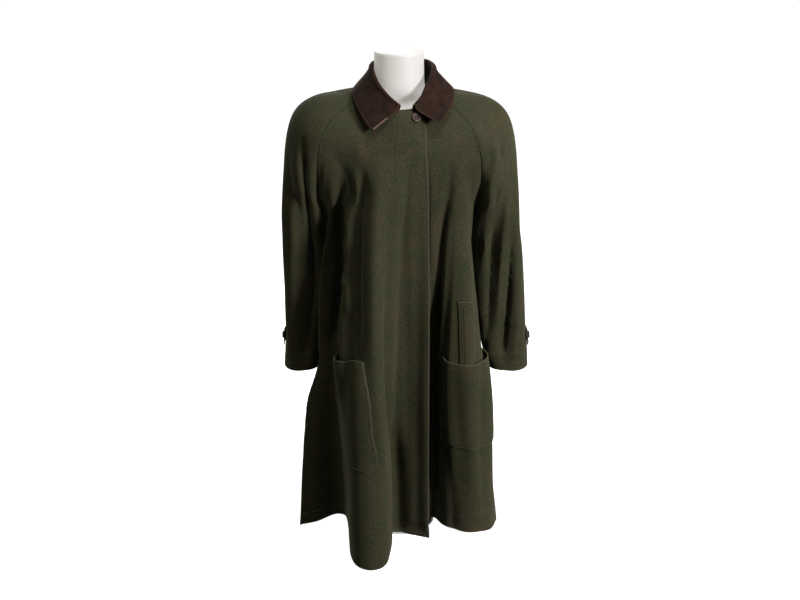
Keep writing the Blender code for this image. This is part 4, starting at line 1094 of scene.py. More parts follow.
class Nodes:
    """A material's node tree, built by short calls."""

    def __init__(self, name):
        self.material = bpy.data.materials.new(name)
        self.material.use_nodes = True
        self.tree = self.material.node_tree
        self.shader = self.tree.nodes["Principled BSDF"]

    def feed(self, socket, value):
        """Links a socket to another one, or sets its value."""
        if isinstance(value, bpy.types.NodeSocket):
            self.tree.links.new(value, socket)
        else:
            socket.default_value = value

    def add(self, kind, **inputs):
        node = self.tree.nodes.new("ShaderNode" + kind)
        for key, value in inputs.items():
            name = key.replace("_", " ")
            if hasattr(node, key) and key not in node.inputs and name not in node.inputs:
                setattr(node, key, value)
            else:
                self.feed(node.inputs[name if name in node.inputs else key], value)
        return node

    def math(self, operation, a, b=0.0, c=None):
        node = self.tree.nodes.new("ShaderNodeMath")
        node.operation = operation
        for socket, value in zip(node.inputs, (a, b, c)):
            if value is not None:
                self.feed(socket, value)
        return node.outputs[0]

    def place(self, stretch=(1, 1, 1)):
        coordinates = self.add("TexCoord").outputs["Object"]
        return self.add("Mapping", Vector=coordinates, Scale=stretch).outputs[0]

    def noise(self, scale, detail=2.0, rough=0.5, stretch=(1, 1, 1)):
        return self.add(
            "TexNoise", Vector=self.place(stretch), Scale=scale, Detail=detail, Roughness=rough
        ).outputs["Fac"]

    def ramp(self, value, *stops):
        node = self.add("ValToRGB", Fac=value)
        bar = node.color_ramp.elements
        while len(bar) < len(stops):
            bar.new(0.5)
        for element, (at, colour) in zip(bar, stops):
            element.position = at
            element.color = (*colour, 1.0)
        return node.outputs["Color"]

    def mix(self, share, a, b, blend="MIX"):
        node = self.tree.nodes.new("ShaderNodeMix")
        node.data_type = "RGBA"
        node.blend_type = blend
        self.feed(node.inputs[MIX_SHARE], share)
        for k, value in ((MIX_A, a), (MIX_B, b)):
            self.feed(node.inputs[k], (*value, 1.0) if isinstance(value, tuple) else value)
        return node.outputs[MIX_RESULT]

    def times(self, colour, value, *stops):
        """A colour multiplied by a ramp."""
        return self.mix(1.0, colour, self.ramp(value, *stops), "MULTIPLY")

    def mark(self, name):
        node = self.add("Attribute")
        node.attribute_name = name
        return node.outputs["Fac"]

    def bump(self, height, distance, strength, below=None):
        node = self.add("Bump", Height=height, Distance=distance, Strength=strength)
        if below is not None:
            self.feed(node.inputs["Normal"], below)
        return node.outputs["Normal"]

    def set(self, **inputs):
        for key, value in inputs.items():
            self.feed(self.shader.inputs[key.replace("_", " ")], value)
        return self.material


def groove(made, mark, at, half_width):
    """1 in the middle of a line at this distance on a mark, and 0 beside it."""
    off = made.math("ABSOLUTE", made.math("SUBTRACT", made.mark(mark), at))
    near = made.math("SUBTRACT", 1.0, made.math("DIVIDE", off, half_width))
    return made.math("SMOOTH_MAX", near, 0.0, 0.1)


def loden(name, grooves):
    """Napped wool of green and brown fibres, its topstitching drawn in along its edges as grooves,
    each groove darkened with painted shade.
    """
    made = Nodes(name)
    fibre = made.noise(620, 3, 0.65, (1, 1, 0.55))
    colour = made.ramp(
        fibre,
        (0.30, (0.0110, 0.0138, 0.0062)),
        (0.45, (0.0255, 0.0268, 0.0140)),
        (0.56, (0.0372, 0.0342, 0.0214)),
        (0.70, (0.0640, 0.0508, 0.0360)),
    )
    blotch = made.noise(30, 4, 0.6)
    colour = made.times(
        colour, blotch,
        (0.32, (0.80, 1.00, 0.84)), (0.50, (1.00, 1.00, 0.96)), (0.68, (1.20, 1.02, 1.04)),
    )
    broad = made.noise(7, 2, 0.5)
    colour = made.times(colour, broad, (0.30, (0.86, 0.90, 0.86)), (0.70, (1.12, 1.08, 1.10)))
    rub = made.math("SUBTRACT", 1.0, made.math("DIVIDE", made.mark("edge"), 0.0030))
    rub = made.math("MULTIPLY", made.math("MAXIMUM", rub, 0.0), 0.50)
    colour = made.mix(rub, colour, (0.085, 0.080, 0.056))
    nap = made.noise(1500, 2, 0.7, (1, 1, 0.30))
    pile = made.noise(340, 3, 0.6, (1, 1, 0.5))
    crumple = made.noise(55, 3, 0.55)
    normal = made.bump(nap, 0.00030, 0.55)
    normal = made.bump(pile, 0.00050, 0.45, normal)
    normal = made.bump(crumple, 0.0016, 0.22, normal)
    for mark, at in grooves:
        line = groove(made, mark, at, 0.0016)
        normal = made.bump(made.math("MULTIPLY", line, -1.0), 0.0009, 0.9, normal)
        # painted shade: the cloth's colour is darkened toward near black along each seam and
        # stitch groove
        colour = made.mix(made.math("MULTIPLY", line, 0.45), colour, (0.008, 0.009, 0.004))
    rough = made.math("MULTIPLY_ADD", pile, 0.10, 0.84)
    return made.set(
        Base_Color=colour, Roughness=rough, Normal=normal, Specular_IOR_Level=0.08,
        Sheen_Weight=0.08, Sheen_Roughness=0.55, Sheen_Tint=(0.56, 0.55, 0.34, 1.0),
    )


def corduroy():
    """Fine brown corduroy, its wales rubbed paler on their tops, greener on the stand."""
    made = Nodes("corduroy")
    top = made.mark("wale")
    pile = made.noise(900, 3, 0.7)
    blotch = made.noise(38, 3, 0.6)
    colour = made.ramp(
        made.math("ADD", top, made.math("MULTIPLY", made.math("SUBTRACT", pile, 0.5), 0.6)),
        (0.10, (0.0040, 0.0022, 0.0016)),
        (0.55, (0.0125, 0.0058, 0.0042)),
        (1.00, (0.0330, 0.0160, 0.0105)),
    )
    colour = made.times(colour, blotch, (0.34, (0.50, 0.56, 0.52)), (0.66, (1.50, 1.30, 1.22)))
    rub = made.math("SUBTRACT", 1.0, made.math("DIVIDE", made.mark("edge"), 0.0045))
    worn = made.math("MULTIPLY", made.noise(170, 3, 0.7), 0.5)
    rub = made.math("MULTIPLY", made.math("MAXIMUM", rub, 0.0), worn)
    colour = made.mix(rub, colour, (0.075, 0.042, 0.030))
    colour = made.mix(made.mark("stand"), colour, (0.0075, 0.0095, 0.0060))
    normal = made.bump(pile, 0.0004, 0.5)
    line = groove(made, "edge", 0.0065, 0.0014)
    normal = made.bump(made.math("MULTIPLY", line, -1.0), 0.0008, 0.8, normal)
    rough = made.math("MULTIPLY_ADD", pile, 0.12, 0.74)
    return made.set(
        Base_Color=colour, Roughness=rough, Normal=normal, Specular_IOR_Level=0.08,
        Sheen_Weight=0.04, Sheen_Roughness=0.35, Sheen_Tint=(0.60, 0.30, 0.20, 1.0),
    )


def lining():
    """Dark olive twill lining inside the coat."""
    made = Nodes("lining")
    twill = made.add(
        "TexWave", Vector=made.place(), Scale=260.0, Distortion=0.6, Detail=1.0,
        bands_direction="DIAGONAL",
    ).outputs["Fac"]
    tone = made.noise(24, 3, 0.5)
    colour = made.ramp(
        tone, (0.30, (0.0085, 0.0095, 0.0050)), (0.70, (0.0150, 0.0150, 0.0085))
    )
    normal = made.bump(twill, 0.0002, 0.4)
    normal = made.bump(made.noise(42, 3, 0.5), 0.002, 0.3, normal)
    return made.set(
        Base_Color=colour, Roughness=made.math("MULTIPLY_ADD", tone, 0.15, 0.42), Normal=normal
    )


def thread(name, low, high):
    """Twisted sewing thread."""
    made = Nodes(name)
    twist = made.noise(2600, 2, 0.6)
    colour = made.ramp(twist, (0.30, low), (0.70, high))
    return made.set(
        Base_Color=colour, Roughness=made.math("MULTIPLY_ADD", twist, 0.2, 0.55),
        Normal=made.bump(twist, 0.0001, 0.5),
    )


def horn():
    """Polished brown horn with pale and dark streaks, its raised rim made paler with a painted
    highlight.
    """
    made = Nodes("horn")
    streak = made.noise(210, 5, 0.65, (1.0, 1.0, 2.6))
    colour = made.ramp(
        streak,
        (0.28, (0.0110, 0.0050, 0.0035)),
        (0.50, (0.0150, 0.0070, 0.0045)),
        (0.70, (0.0400, 0.0210, 0.0135)),
    )
    # painted highlight: the top of the raised rim is mixed toward pale brown
    colour = made.mix(
        made.math("MULTIPLY", made.mark("rim"), 0.30), colour, (0.165, 0.120, 0.085)
    )
    scratch = made.noise(1300, 3, 0.6, (1, 1, 4))
    return made.set(
        Base_Color=colour, Roughness=made.math("MULTIPLY_ADD", scratch, 0.22, 0.34),
        Normal=made.bump(scratch, 0.00006, 0.4), Specular_IOR_Level=0.22,
    )


def form_white():
    """Satin white lacquer of the dress form, with a warm glow of painted light added."""
    made = Nodes("form_white")
    tone = made.noise(9, 2, 0.5)
    colour = made.ramp(tone, (0.30, (0.322, 0.322, 0.325)), (0.70, (0.346, 0.347, 0.352)))
    grain = made.noise(1400, 2, 0.5)
    # painted light: the warm emission makes the form glow, lifting its shaded side
    return made.set(
        Base_Color=colour, Roughness=made.math("MULTIPLY_ADD", grain, 0.08, 0.36),
        Normal=made.bump(grain, 0.00005, 0.25), Specular_IOR_Level=0.30,
        Emission_Color=(1.0, 0.93, 0.85, 1.0), Emission_Strength=0.30,
    )


def steel():
    """Brushed steel of the stand."""
    made = Nodes("steel")
    brushed = made.noise(900, 3, 0.6, (1, 1, 0.04))
    colour = made.ramp(brushed, (0.30, (0.42, 0.42, 0.43)), (0.70, (0.60, 0.60, 0.61)))
    return made.set(
        Base_Color=colour, Metallic=1.0, Roughness=made.math("MULTIPLY_ADD", brushed, 0.2, 0.25),
        Normal=made.bump(brushed, 0.00008, 0.4),
    )


def seam_distance(panel, seams):
    """Distance of each point from the nearest of a panel's sewn edges. A seam is an edge
    (first or last column, first or last row) and the range of rows where it is sewn."""
    across, down = panel.across(), panel.down()
    found = np.full(across.shape, 0.2)
    for edge, low, high in seams:
        if edge == "first_column":
            gap = across
        elif edge == "last_column":
            gap = across[:, -1:] - across
        elif edge == "first_row":
            gap = down
        else:
            gap = down[-1:] - down
        if edge.endswith("column"):
            column = 0 if edge == "first_column" else -1
            along = down[:, column]
            high = len(along) - 1 if high is None else high
            past = np.maximum(along[low] - along, 0) + np.maximum(along - along[high], 0)
            gap = np.hypot(gap, past[:, None])
        found = np.minimum(found, gap)
    return found


def edge_distance(panel, *edges):
    """Distance of each point from the nearest of these whole edges."""
    return seam_distance(panel, [(edge, 0, None) for edge in edges])


def small_marks(edge):
    """Marks of a small piece, stitched along its edges, with no mouth and no seam."""
    return {"sides": edge, "mouth": edge + 0.05, "edge": edge, "seam": edge + 0.01}


def unevenness(points, size, shift):
    """Smooth noise of this size at each point of a grid."""
    found = [noise.noise(Vector(p) / size + Vector((shift, 0, 0))) for p in points.reshape(-1, 3)]
    return np.array(found).reshape(points.shape[:-1])


def pucker(panel, gap, seed, height=0.0004, reach=0.011, wave=0.012):
    """The cloth beside a seam or a row of stitches, drawn up in small uneven waves."""
    rise = unevenness(panel.points, wave, seed) * height * np.exp(-(gap / reach) ** 2)
    panel.points = panel.points + panel.out * rise[..., None]


def mirrored(grid):
    return grid * (-1, 1, 1)


def cut_coat():
    """The outer faces of the body panels and sleeve halves, in the finished part's frame."""
    grids = {
        f"front_{side}": front_grid(f"front_{side}", -edge, FRONT_COLUMNS[side], PATCHES[side])
        for side, edge in (("right", PLACKET_EDGE), ("left", UNDER_EDGE))
    }
    grids["back"] = back_grid()
    for side in ("right", "left"):
        for half in ("sleeve_front", "sleeve_back"):
            grids[f"{half}_{side}"] = sleeve_grid(half, side)
    normals = {}
    for name, grid in grids.items():
        kind = name.rsplit("_", 1)[0] if name.startswith("sleeve") else name
        normals[name] = grid_normals(grid, grid_faces_out(grid, kind))
    for name in ("front_right", "sleeve_front_right", "sleeve_back_right"):
        grids[name], normals[name] = mirrored(grids[name]), mirrored(normals[name])
    halves = {"back_left": slice(0, BACK_COLUMNS + 1), "back_right": slice(BACK_COLUMNS, None)}
    whole, whole_out = grids.pop("back"), normals.pop("back")
    for name, half in halves.items():
        grids[name], normals[name] = whole[:, half], whole_out[:, half]
    coat = {}
    for name, grid in grids.items():
        coat[name] = Panel(grid + (0.0, -STAND_Y, 0.0), normals[name])
    join_normals(coat)
    return coat


def join_normals(coat):
    """One normal for both panels wherever the cloth runs on smoothly across a seam."""
    last = (slice(None), -1)
    first = (slice(None), 0)
    above = slice(UNDERARM_ROW, None)
    raglan = slice(RAGLAN_STEPS, None, -1)
    below = slice(RAGLAN_STEPS, None)
    share_normals(coat["back_left"].out, last, coat["back_right"].out, first)
    for side, side_column in (("left", 0), ("right", -1)):
        front, back = coat[f"front_{side}"].out, coat[f"back_{side}"].out
        share_normals(front, last, back, (slice(None), side_column))
        sleeve_front = coat[f"sleeve_front_{side}"].out
        sleeve_back = coat[f"sleeve_back_{side}"].out
        share_normals(front, (above, -1), sleeve_front, (raglan, 0))
        share_normals(back, (above, side_column), sleeve_back, (raglan, 0))
        share_normals(sleeve_front, last, sleeve_back, last)
        share_normals(sleeve_front, (below, 0), sleeve_back, (below, 0))


def draw_in(coat):
    """Moves each seam's edges apart by the seam's space, as in the solids."""
    for name, panel in coat.items():
        free_first = name.startswith("front")
        points = panel.points.copy()
        for column, neighbour in ([(-1, -2)] if free_first else [(0, 1), (-1, -2)]):
            toward = unit(points[:, neighbour] - points[:, column])
            points[:, column] += toward * (SEAM / 2)
        panel.points = points


def marks_of(name, panel):
    """How far each point lies from the panel's seams, edges and rows of stitches."""
    if name.startswith("sleeve"):
        marks = {
            "raglan": seam_distance(panel, [("first_column", 0, RAGLAN_STEPS)]),
            "over": edge_distance(panel, "last_column"),
            "under": seam_distance(panel, [("first_column", RAGLAN_STEPS, None)]),
            "hem": edge_distance(panel, "last_row"),
        }
        marks["seam"] = np.minimum.reduce([marks["raglan"], marks["over"], marks["under"]])
        marks["edge"] = marks["hem"]
        return marks

    back = name.startswith("back")
    side_edge, inner_edge = "last_column", "first_column"
    if name == "back_left":
        side_edge, inner_edge = inner_edge, side_edge
    marks = {
        "raglan": seam_distance(panel, [(side_edge, UNDERARM_ROW, None)]),
        "side": seam_distance(panel, [(side_edge, 0, UNDERARM_ROW)]),
        "hem": edge_distance(panel, "first_row"),
        "middle": edge_distance(panel, inner_edge),
    }
    seams = [marks["raglan"], marks["side"]] + ([marks["middle"]] if back else [])
    marks["seam"] = np.minimum.reduce(seams)
    marks["edge"] = marks["hem"] if back else np.minimum(marks["hem"], marks["middle"])
    return marks


def line_mark(panel, line):
    """Distance of a panel's points from a line on it, below zero on one side of it."""
    gap, place = nearest_on(panel.points, line)
    near = np.clip(place.astype(int), 0, len(line) - 1)
    beside = np.cross(unit(np.gradient(line, axis=0))[near], panel.out)
    return gap * np.where(((panel.points - line[near]) * beside).sum(-1) < 0, -1, 1)


def lay_creases(coat):
    """The lesser folds, those that show in the photograph and then the hidden ones."""
    for names, pixels, *sizes in CREASES:
        first = coat[names.split()[0]]
        spots = [first.at(*under_pixel(first, p))[0] for p in pixels]
        for name in names.split():
            lay_crease(coat[name], spots, *sizes)
    for names, shares, *sizes in HIDDEN_CREASES:
        first = coat[names.split()[0]]
        rows, columns = first.points.shape[:2]
        spots = [first.at(i * (rows - 1), j * (columns - 1))[0] for i, j in shares]
        for name in names.split():
            lay_crease(coat[name], spots, *sizes)


def ease_underarms(coat):
    """Evens the cloth out over the level of the underarms, away from its seams."""
    reach = range(-EASE_REACH, EASE_REACH + 1)
    share = np.exp(-((np.array(reach) / (EASE_REACH / 2.2)) ** 2))
    share /= share.sum()
    for name, panel in coat.items():
        middle = RAGLAN_STEPS if name.startswith("sleeve") else UNDERARM_ROW
        rows = np.arange(len(panel.points))
        even = sum(s * panel.points[np.clip(rows + k, 0, rows[-1])] for s, k in zip(share, reach))
        amount = np.exp(-(((rows - middle) / EASE_REACH) ** 4))[:, None]
        amount = amount * (1 - np.exp(-(marks_of(name, panel)["seam"] / EASE_FROM_SEAM) ** 2))
        panel.points = panel.points + (even - panel.points) * amount[..., None]
        panel.renormal()
    join_normals(coat)


def dress_coat():
    """The shaped panels, creased and puckered, with their marks."""
    coat = cut_coat()
    ease_underarms(coat)
    lay_creases(coat)
    for k, (name, panel) in enumerate(sorted(coat.items())):
        for size, height, seed, keep_edges in ROUGHNESS:
            lay_roughness(panel, size, height, seed * k, keep_edges)
        marks = marks_of(name, panel)
        pucker(panel, marks["seam"], 1.3 * k)
        pucker(panel, np.abs(marks["hem"] - HEM_STITCH), 2.1 * k, 0.0003, 0.008)
        panel.renormal()
    join_normals(coat)
    draw_in(coat)
    return coat, {name: marks_of(name, panel) for name, panel in coat.items()}


def pocket_panel(front, side):
    """Outer and inner faces of a patch pocket on a front, its lower corners rounded."""
    patch = PATCHES[side]
    first = FIRST_POCKET_COLUMN[side]
    low, high = SKIRT_ROW[POCKET_BOTTOM_Z], SKIRT_ROW[patch.mouth_z]
    rows, columns = high - low + 1, POCKET_COLUMNS + 1
    inner, out = np.zeros((rows, columns, 3)), np.zeros((rows, columns, 3))
    height = patch.mouth_z - POCKET_BOTTOM_Z
    for r in range(rows):
        up = r / (rows - 1)
        short = max(POCKET_CORNER - up * height, 0.0)
        inset = POCKET_CORNER - math.sqrt(max(POCKET_CORNER**2 - short**2, 0.0))
        inset = inset / patch.width * POCKET_COLUMNS
        for c in range(columns):
            across = c / (columns - 1)
            j = first + inset + across * (POCKET_COLUMNS - 2 * inset)
            point, normal = front.at(low + r, j)
            belly = math.sin(math.pi * across) ** 0.7 * smooth_step(up) if 0 < across < 1 else 0
            low_part = smooth_step(across / 0.4) * smooth_step((1 - across) / 0.4)
            far = smooth_step((across - FAR_CORNER_FROM) / 0.30) if side == "right" else 0.0
            drop = (low_part * patch.sag + far * FAR_CORNER_DROP) * smooth_step(up) ** 2
            inner[r, c] = point + normal * (LYING + belly * patch.gape) - (0, 0, drop)
            out[r, c] = normal
    return Panel(inner + out * CLOTH, out), inner


def lift_panel(front, rows, columns, lift):
    """A piece that lies on part of a panel, its outer and inner faces."""
    points, out = front.points[rows, columns], front.out[rows, columns]
    return Panel(points + out * (lift + CLOTH), out), points + out * lift


def add_panels(coat, marks, wool, inside):
    """The body panels and sleeve halves, wool outside and lining inside."""
    for name, panel in coat.items():
        kind = name if name in wool else name.split("_")[0]
        piece = shell(f"cloth_{name}", panel, [wool[kind], inside], marks[name])
        finish_cloth(piece, name)


def add_pockets(coat, wool):
    """Patch pockets with gaping mouths. Yields each side and its panel, for its stitches."""
    for side in ("right", "left"):
        front = coat[f"front_{side}"]
        panel, inner = pocket_panel(front, side)
        sides = edge_distance(panel, "first_column", "last_column", "first_row")
        mouth = edge_distance(panel, "last_row")
        moved = panel.points.copy()
        pucker(panel, sides, 4.4, 0.0004, 0.009)
        panel.points[[0, -1]] = moved[[0, -1]]
        panel.renormal()
        marks = {
            "sides": sides, "mouth": mouth, "edge": np.minimum(sides, mouth), "seam": sides + 0.01
        }
        piece = shell(f"cloth_patch_pocket_{side}", panel, [wool["pocket"]], marks, inner=inner)
        finish_cloth(piece, f"patch_pocket_{side}")
        yield side, panel


def add_welts(coat, wool):
    """Welts of the side pockets, which run down behind the patch pockets."""
    for side, columns in WELT_COLUMNS.items():
        first = FIRST_POCKET_COLUMN[side]
        below = SKIRT_LEVELS[SKIRT_LEVELS.index(PATCHES[side].mouth_z) - 1]
        rows = slice(SKIRT_ROW[below], SKIRT_ROW[WELT_TOP_Z] + 1)
        across = slice(first + columns[0], first + columns[1] + 1)
        panel, inner = lift_panel(coat[f"front_{side}"], rows, across, LYING)
        edge = edge_distance(panel, "first_column", "last_column", "last_row")
        piece = shell(
            f"cloth_welt_{side}", panel, [wool["pocket"]], small_marks(edge), inner=inner
        )
        finish_cloth(piece, f"welt_{side}")
        yield side, panel


def add_tabs(coat, wool):
    """Cuff tabs, each round the back of a cuff, its free end standing off the sleeve."""
    for side in ("right", "left"):
        low, high = TAB_ROWS
        back = coat[f"sleeve_back_{side}"]
        front = coat[f"sleeve_front_{side}"]
        rows = slice(low, high + 1)
        start, end = int(SLEEVE_COLUMNS / 4), SLEEVE_COLUMNS - TAB_END_COLUMNS
        points = np.concatenate([back.points[rows, start:], front.points[rows, -2:end:-1]], axis=1)
        out = np.concatenate([back.out[rows, start:], front.out[rows, -2:end:-1]], axis=1)
        count = points.shape[1]
        free = smooth_step((np.arange(count) - (count - 9)) / 8.0)
        lift = LYING + 0.0004 + 0.0022 * free
        inner = points + out * lift[None, :, None]
        panel = Panel(inner + out * CLOTH, out)
        edge = edge_distance(panel, "first_row", "last_row", "last_column")
        piece = shell(
            f"cloth_cuff_tab_{side}", panel, [wool["pocket"]], small_marks(edge), inner=inner
        )
        finish_cloth(piece, f"cuff_tab_{side}")
        yield side, panel


def add_collar(finish):
    """The corduroy collar: stand, roll and leaves, its wales standing across it."""
    right = mirrored(collar_half("right"))
    left = collar_half("left")
    middle = np.concatenate([right, left[-2::-1]]) + (0.0, -STAND_Y, 0.0)
    out = grid_normals(middle, 1.0)
    fall = middle.shape[1] - 4
    outward = (middle[:, fall] + (0, STAND_Y, 0)) * (1, 1, 0)
    sign = np.sign((out[:, fall] * outward).sum())
    out = out * sign
    panel = Panel(middle + out * (CLOTH / 2), out)
    leaf = panel.points[:, -FALL_CELLS // 2]
    place = lengths(leaf)
    sway = np.array([noise.noise(Vector((p * 9, 2.7, 0))) for p in place]) * 0.0008
    wale = 0.5 + 0.5 * np.cos(2 * math.pi * (place + sway) / WALE)
    cells = np.arange(panel.points.shape[1])
    on_leaf = smooth_step((cells - STAND_CELLS - 1) / 4.0)
    ribs = wale[:, None] * on_leaf[None, :]
    uneven = unevenness(panel.points, 0.020, 5)
    rise = WALE_HEIGHT * (ribs - 0.5 * on_leaf) + 0.0007 * uneven * on_leaf
    panel.points = panel.points + out * rise[..., None]
    for pixels, *sizes in COLLAR_CREASES:
        lay_crease(panel, [panel.at(*under_pixel(panel, p))[0] for p in pixels], *sizes)
    edge = edge_distance(panel, "last_column", "first_row", "last_row")
    marks = {
        "wale": np.clip(wale[:, None] + 0.2 * uneven, 0, 1),
        "edge": edge,
        "stand": np.repeat((1 - smooth_step((cells - STAND_CELLS + 3) / 4.0))[None], len(wale), 0),
        "seam": edge + 0.01,
    }
    piece = shell(
        "cloth_collar", panel, [finish], marks, roll=0.0009, inner=middle - out * (CLOTH / 2)
    )
    finish_cloth(piece, "collar", "corduroy")
    return panel


# A button's turned face, rim and back: distance from the axis and height, as shares of its
# radius and half its thickness. Its holes' places and their radius are shares of its radius.
BUTTON_PROFILE = (
    (0.0, 0.30), (0.50, 0.30), (0.60, 0.45), (0.68, 0.84), (0.76, 0.98), (0.84, 1.0),
    (0.92, 0.90), (0.98, 0.62), (1.0, 0.20), (1.0, -0.25), (0.95, -0.55), (0.80, -0.95),
    (0.70, -1.0), (0.0, -1.0),
)
BUTTON_SEGMENTS = 64
HOLES_AT = [
    (0.24 * math.cos(turn), 0.24 * math.sin(turn))
    for turn in math.pi / 4 + np.arange(4) * math.pi / 2
]
HOLE_R = 0.105
STRANDS = (-0.05, 0.0, 0.05)


def turned_button(name, radius, half):
    """A disc turned to the profile, its face up +Z, with a mark on its rim for the painted
    highlight.
    """
    made = bmesh.new()
    rings, rim = [], []
    for r, z in BUTTON_PROFILE:
        if r == 0:
            rings.append([made.verts.new((0, 0, z * half))])
            rim.append(0.0)
            continue
        # marks the upward-facing top of the raised rim, where the painted highlight goes
        rim += [float(smooth_step((r - 0.66) / 0.1) * (z > 0.5))] * BUTTON_SEGMENTS
        rings.append([
            made.verts.new((r * radius * math.cos(a), r * radius * math.sin(a), z * half))
            for a in np.linspace(0, 2 * math.pi, BUTTON_SEGMENTS, endpoint=False)
        ])
    for ring, below in zip(rings, rings[1:]):
        for i in range(BUTTON_SEGMENTS):
            k = (i + 1) % BUTTON_SEGMENTS
            corners = [ring[i % len(ring)], below[i % len(below)],
                       below[k % len(below)], ring[k % len(ring)]]
            made.faces.new(list(dict.fromkeys(corners)))
    bmesh.ops.recalc_face_normals(made, faces=made.faces)
    button = bpy.data.meshes.new(name)
    made.to_mesh(button)
    made.free()
    mark = button.attributes.new("rim", "FLOAT", "POINT")
    mark.data.foreach_set("value", np.array(rim, dtype=np.float32))
    return button


def drill_holes(piece, radius, half):
    """Cuts the four holes through a button and returns its mesh."""
    drill = bmesh.new()
    for x, y in HOLES_AT:
        hole = bmesh.ops.create_cone(
            drill, cap_ends=True, segments=16, radius1=radius * HOLE_R, radius2=radius * HOLE_R,
            depth=half * 4,
        )
        bmesh.ops.translate(drill, verts=hole["verts"], vec=(radius * x, radius * y, 0))
    mesh = bpy.data.meshes.new("holes")
    drill.to_mesh(mesh)
    drill.free()
    cutter = add_object("holes", mesh)
    cut = piece.modifiers.new("holes", "BOOLEAN")
    cut.operation, cut.object, cut.solver = "DIFFERENCE", cutter, "EXACT"
    bpy.context.view_layer.update()
    shown = piece.evaluated_get(bpy.context.evaluated_depsgraph_get())
    finished = bpy.data.meshes.new_from_object(shown)
    piece.modifiers.clear()
    bpy.data.objects.remove(cutter)
    return finished


def add_button(name, node, radius, finish):
    """A four-hole horn button in its solid's place. Returns the lines of its thread."""
    solid = np.array([v.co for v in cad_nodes[node].data.vertices])
    centre = solid.mean(0)
    axis = np.linalg.svd(solid - centre)[2][2]
    away = centre - (0.0, -STAND_Y + 0.02, centre[2])
    axis = axis * (1.0 if axis @ away > 0 else -1.0)
    along = (solid - centre) @ axis
    seat = centre + axis * (along.min() + along.max()) / 2
    half = (along.max() - along.min()) / 2
    turn = Vector(axis).to_track_quat("Z", "Y").to_matrix().to_4x4()
    placed = Matrix.Translation(Vector(seat)) @ turn
    piece = add_object(name, turned_button(name, radius, half))
    piece.data = drill_holes(piece, radius, half)
    piece.data.name = name
    piece.data.transform(placed)
    piece.data.materials.clear()
    piece.data.materials.append(finish)
    piece.data.shade_smooth()
    piece.data.set_sharp_from_angle(angle=math.radians(38))
    finish_piece(piece, "horn", node)
    rotate = np.array(placed.to_3x3())
    lines = []
    for pair in ((0, 1), (3, 2)):
        for shift in STRANDS:
            start, end = (
                np.array([radius * HOLES_AT[k][0], radius * (HOLES_AT[k][1] + shift), half * 0.1])
                for k in pair
            )
            middle = (start + end) / 2 + (0, 0, half * 0.62)
            strand = np.array([
                start * (1 - t) ** 2 + 2 * middle * t * (1 - t) + end * t**2
                for t in np.linspace(0, 1, 9)
            ])
            lines.append((strand @ rotate.T + seat, np.repeat([axis], len(strand), 0)))
    return lines


def add_form(finish):
    """The form's smooth torso and neck. Under the coat it keeps a little inside its solid."""
    levels = np.concatenate([
        np.linspace(FORM_RINGS[0].z, NECK_FOOT_Z, 90)[:-1],
        np.linspace(NECK_FOOT_Z, NECK_TOP_Z, 34),
    ])
    turns = np.linspace(0.0, 2 * math.pi, 128, endpoint=False)
    cos, sin = np.cos(turns), np.sin(turns)
    points = []
    for z in levels:
        ring = row_at(FORM_RINGS, "z", float(z))
        inside = 0.0014 * float(1 - smooth_step((z - 1.020) / 0.012))
        power = 2 / ring.power
        x = (ring.half_x - inside) * np.sign(sin) * np.abs(sin) ** power
        reach = np.where(cos > 0, -ring.front_y, ring.back_y) - inside
        y = -reach * np.sign(cos) * np.abs(cos) ** power
        points.append(np.column_stack([x, y - STAND_Y, np.full(len(x), z)]))
    rounded = [
        (NECK_R - 0.0045 * (1 - math.cos(angle)), NECK_TOP_Z + 0.0055 * math.sin(angle))
        for angle in np.arange(1, 9) / 8 * math.pi / 2
    ]
    for r, z in rounded + [(0.040, 1.1252), (0.026, 1.1257), (0.012, 1.1259)]:
        points.append(np.column_stack([r * sin, -r * cos - STAND_Y, np.full(len(turns), z)]))
    grid = np.array(points)
    rows, columns = grid.shape[:2]
    number = np.arange(rows * columns).reshape(rows, columns)
    around = np.roll(number, -1, axis=1)
    quads = np.stack([number[:-1], around[:-1], around[1:], number[1:]], -1).reshape(-1, 4)
    faces = [*quads.tolist(), number[0][::-1].tolist(), number[-1].tolist()]
    piece = new_mesh("form_bust", grid.reshape(-1, 3), faces, [finish], 50)
    finish_piece(piece, "form_white", "form_torso")


def panel_stitches(name, panel):
    """Lines of topstitching, hem stitches and edge stitches on a body panel or sleeve half."""
    rows = len(panel.points)
    if name.startswith("sleeve"):
        return [column_line(panel, TOPSTITCH, True), row_line(panel, rows - 1 - CUFF_STITCH_ROW)]
    middle = panel.down()[:, panel.points.shape[1] // 2]
    lines = [
        column_line(panel, TOPSTITCH, name != "back_left", UNDERARM_ROW),
        row_line(panel, float(np.interp(HEM_STITCH, middle, range(rows)))),
    ]
    if name.startswith("front"):
        lines.append(column_line(panel, EDGE_STITCH, False))
    return lines


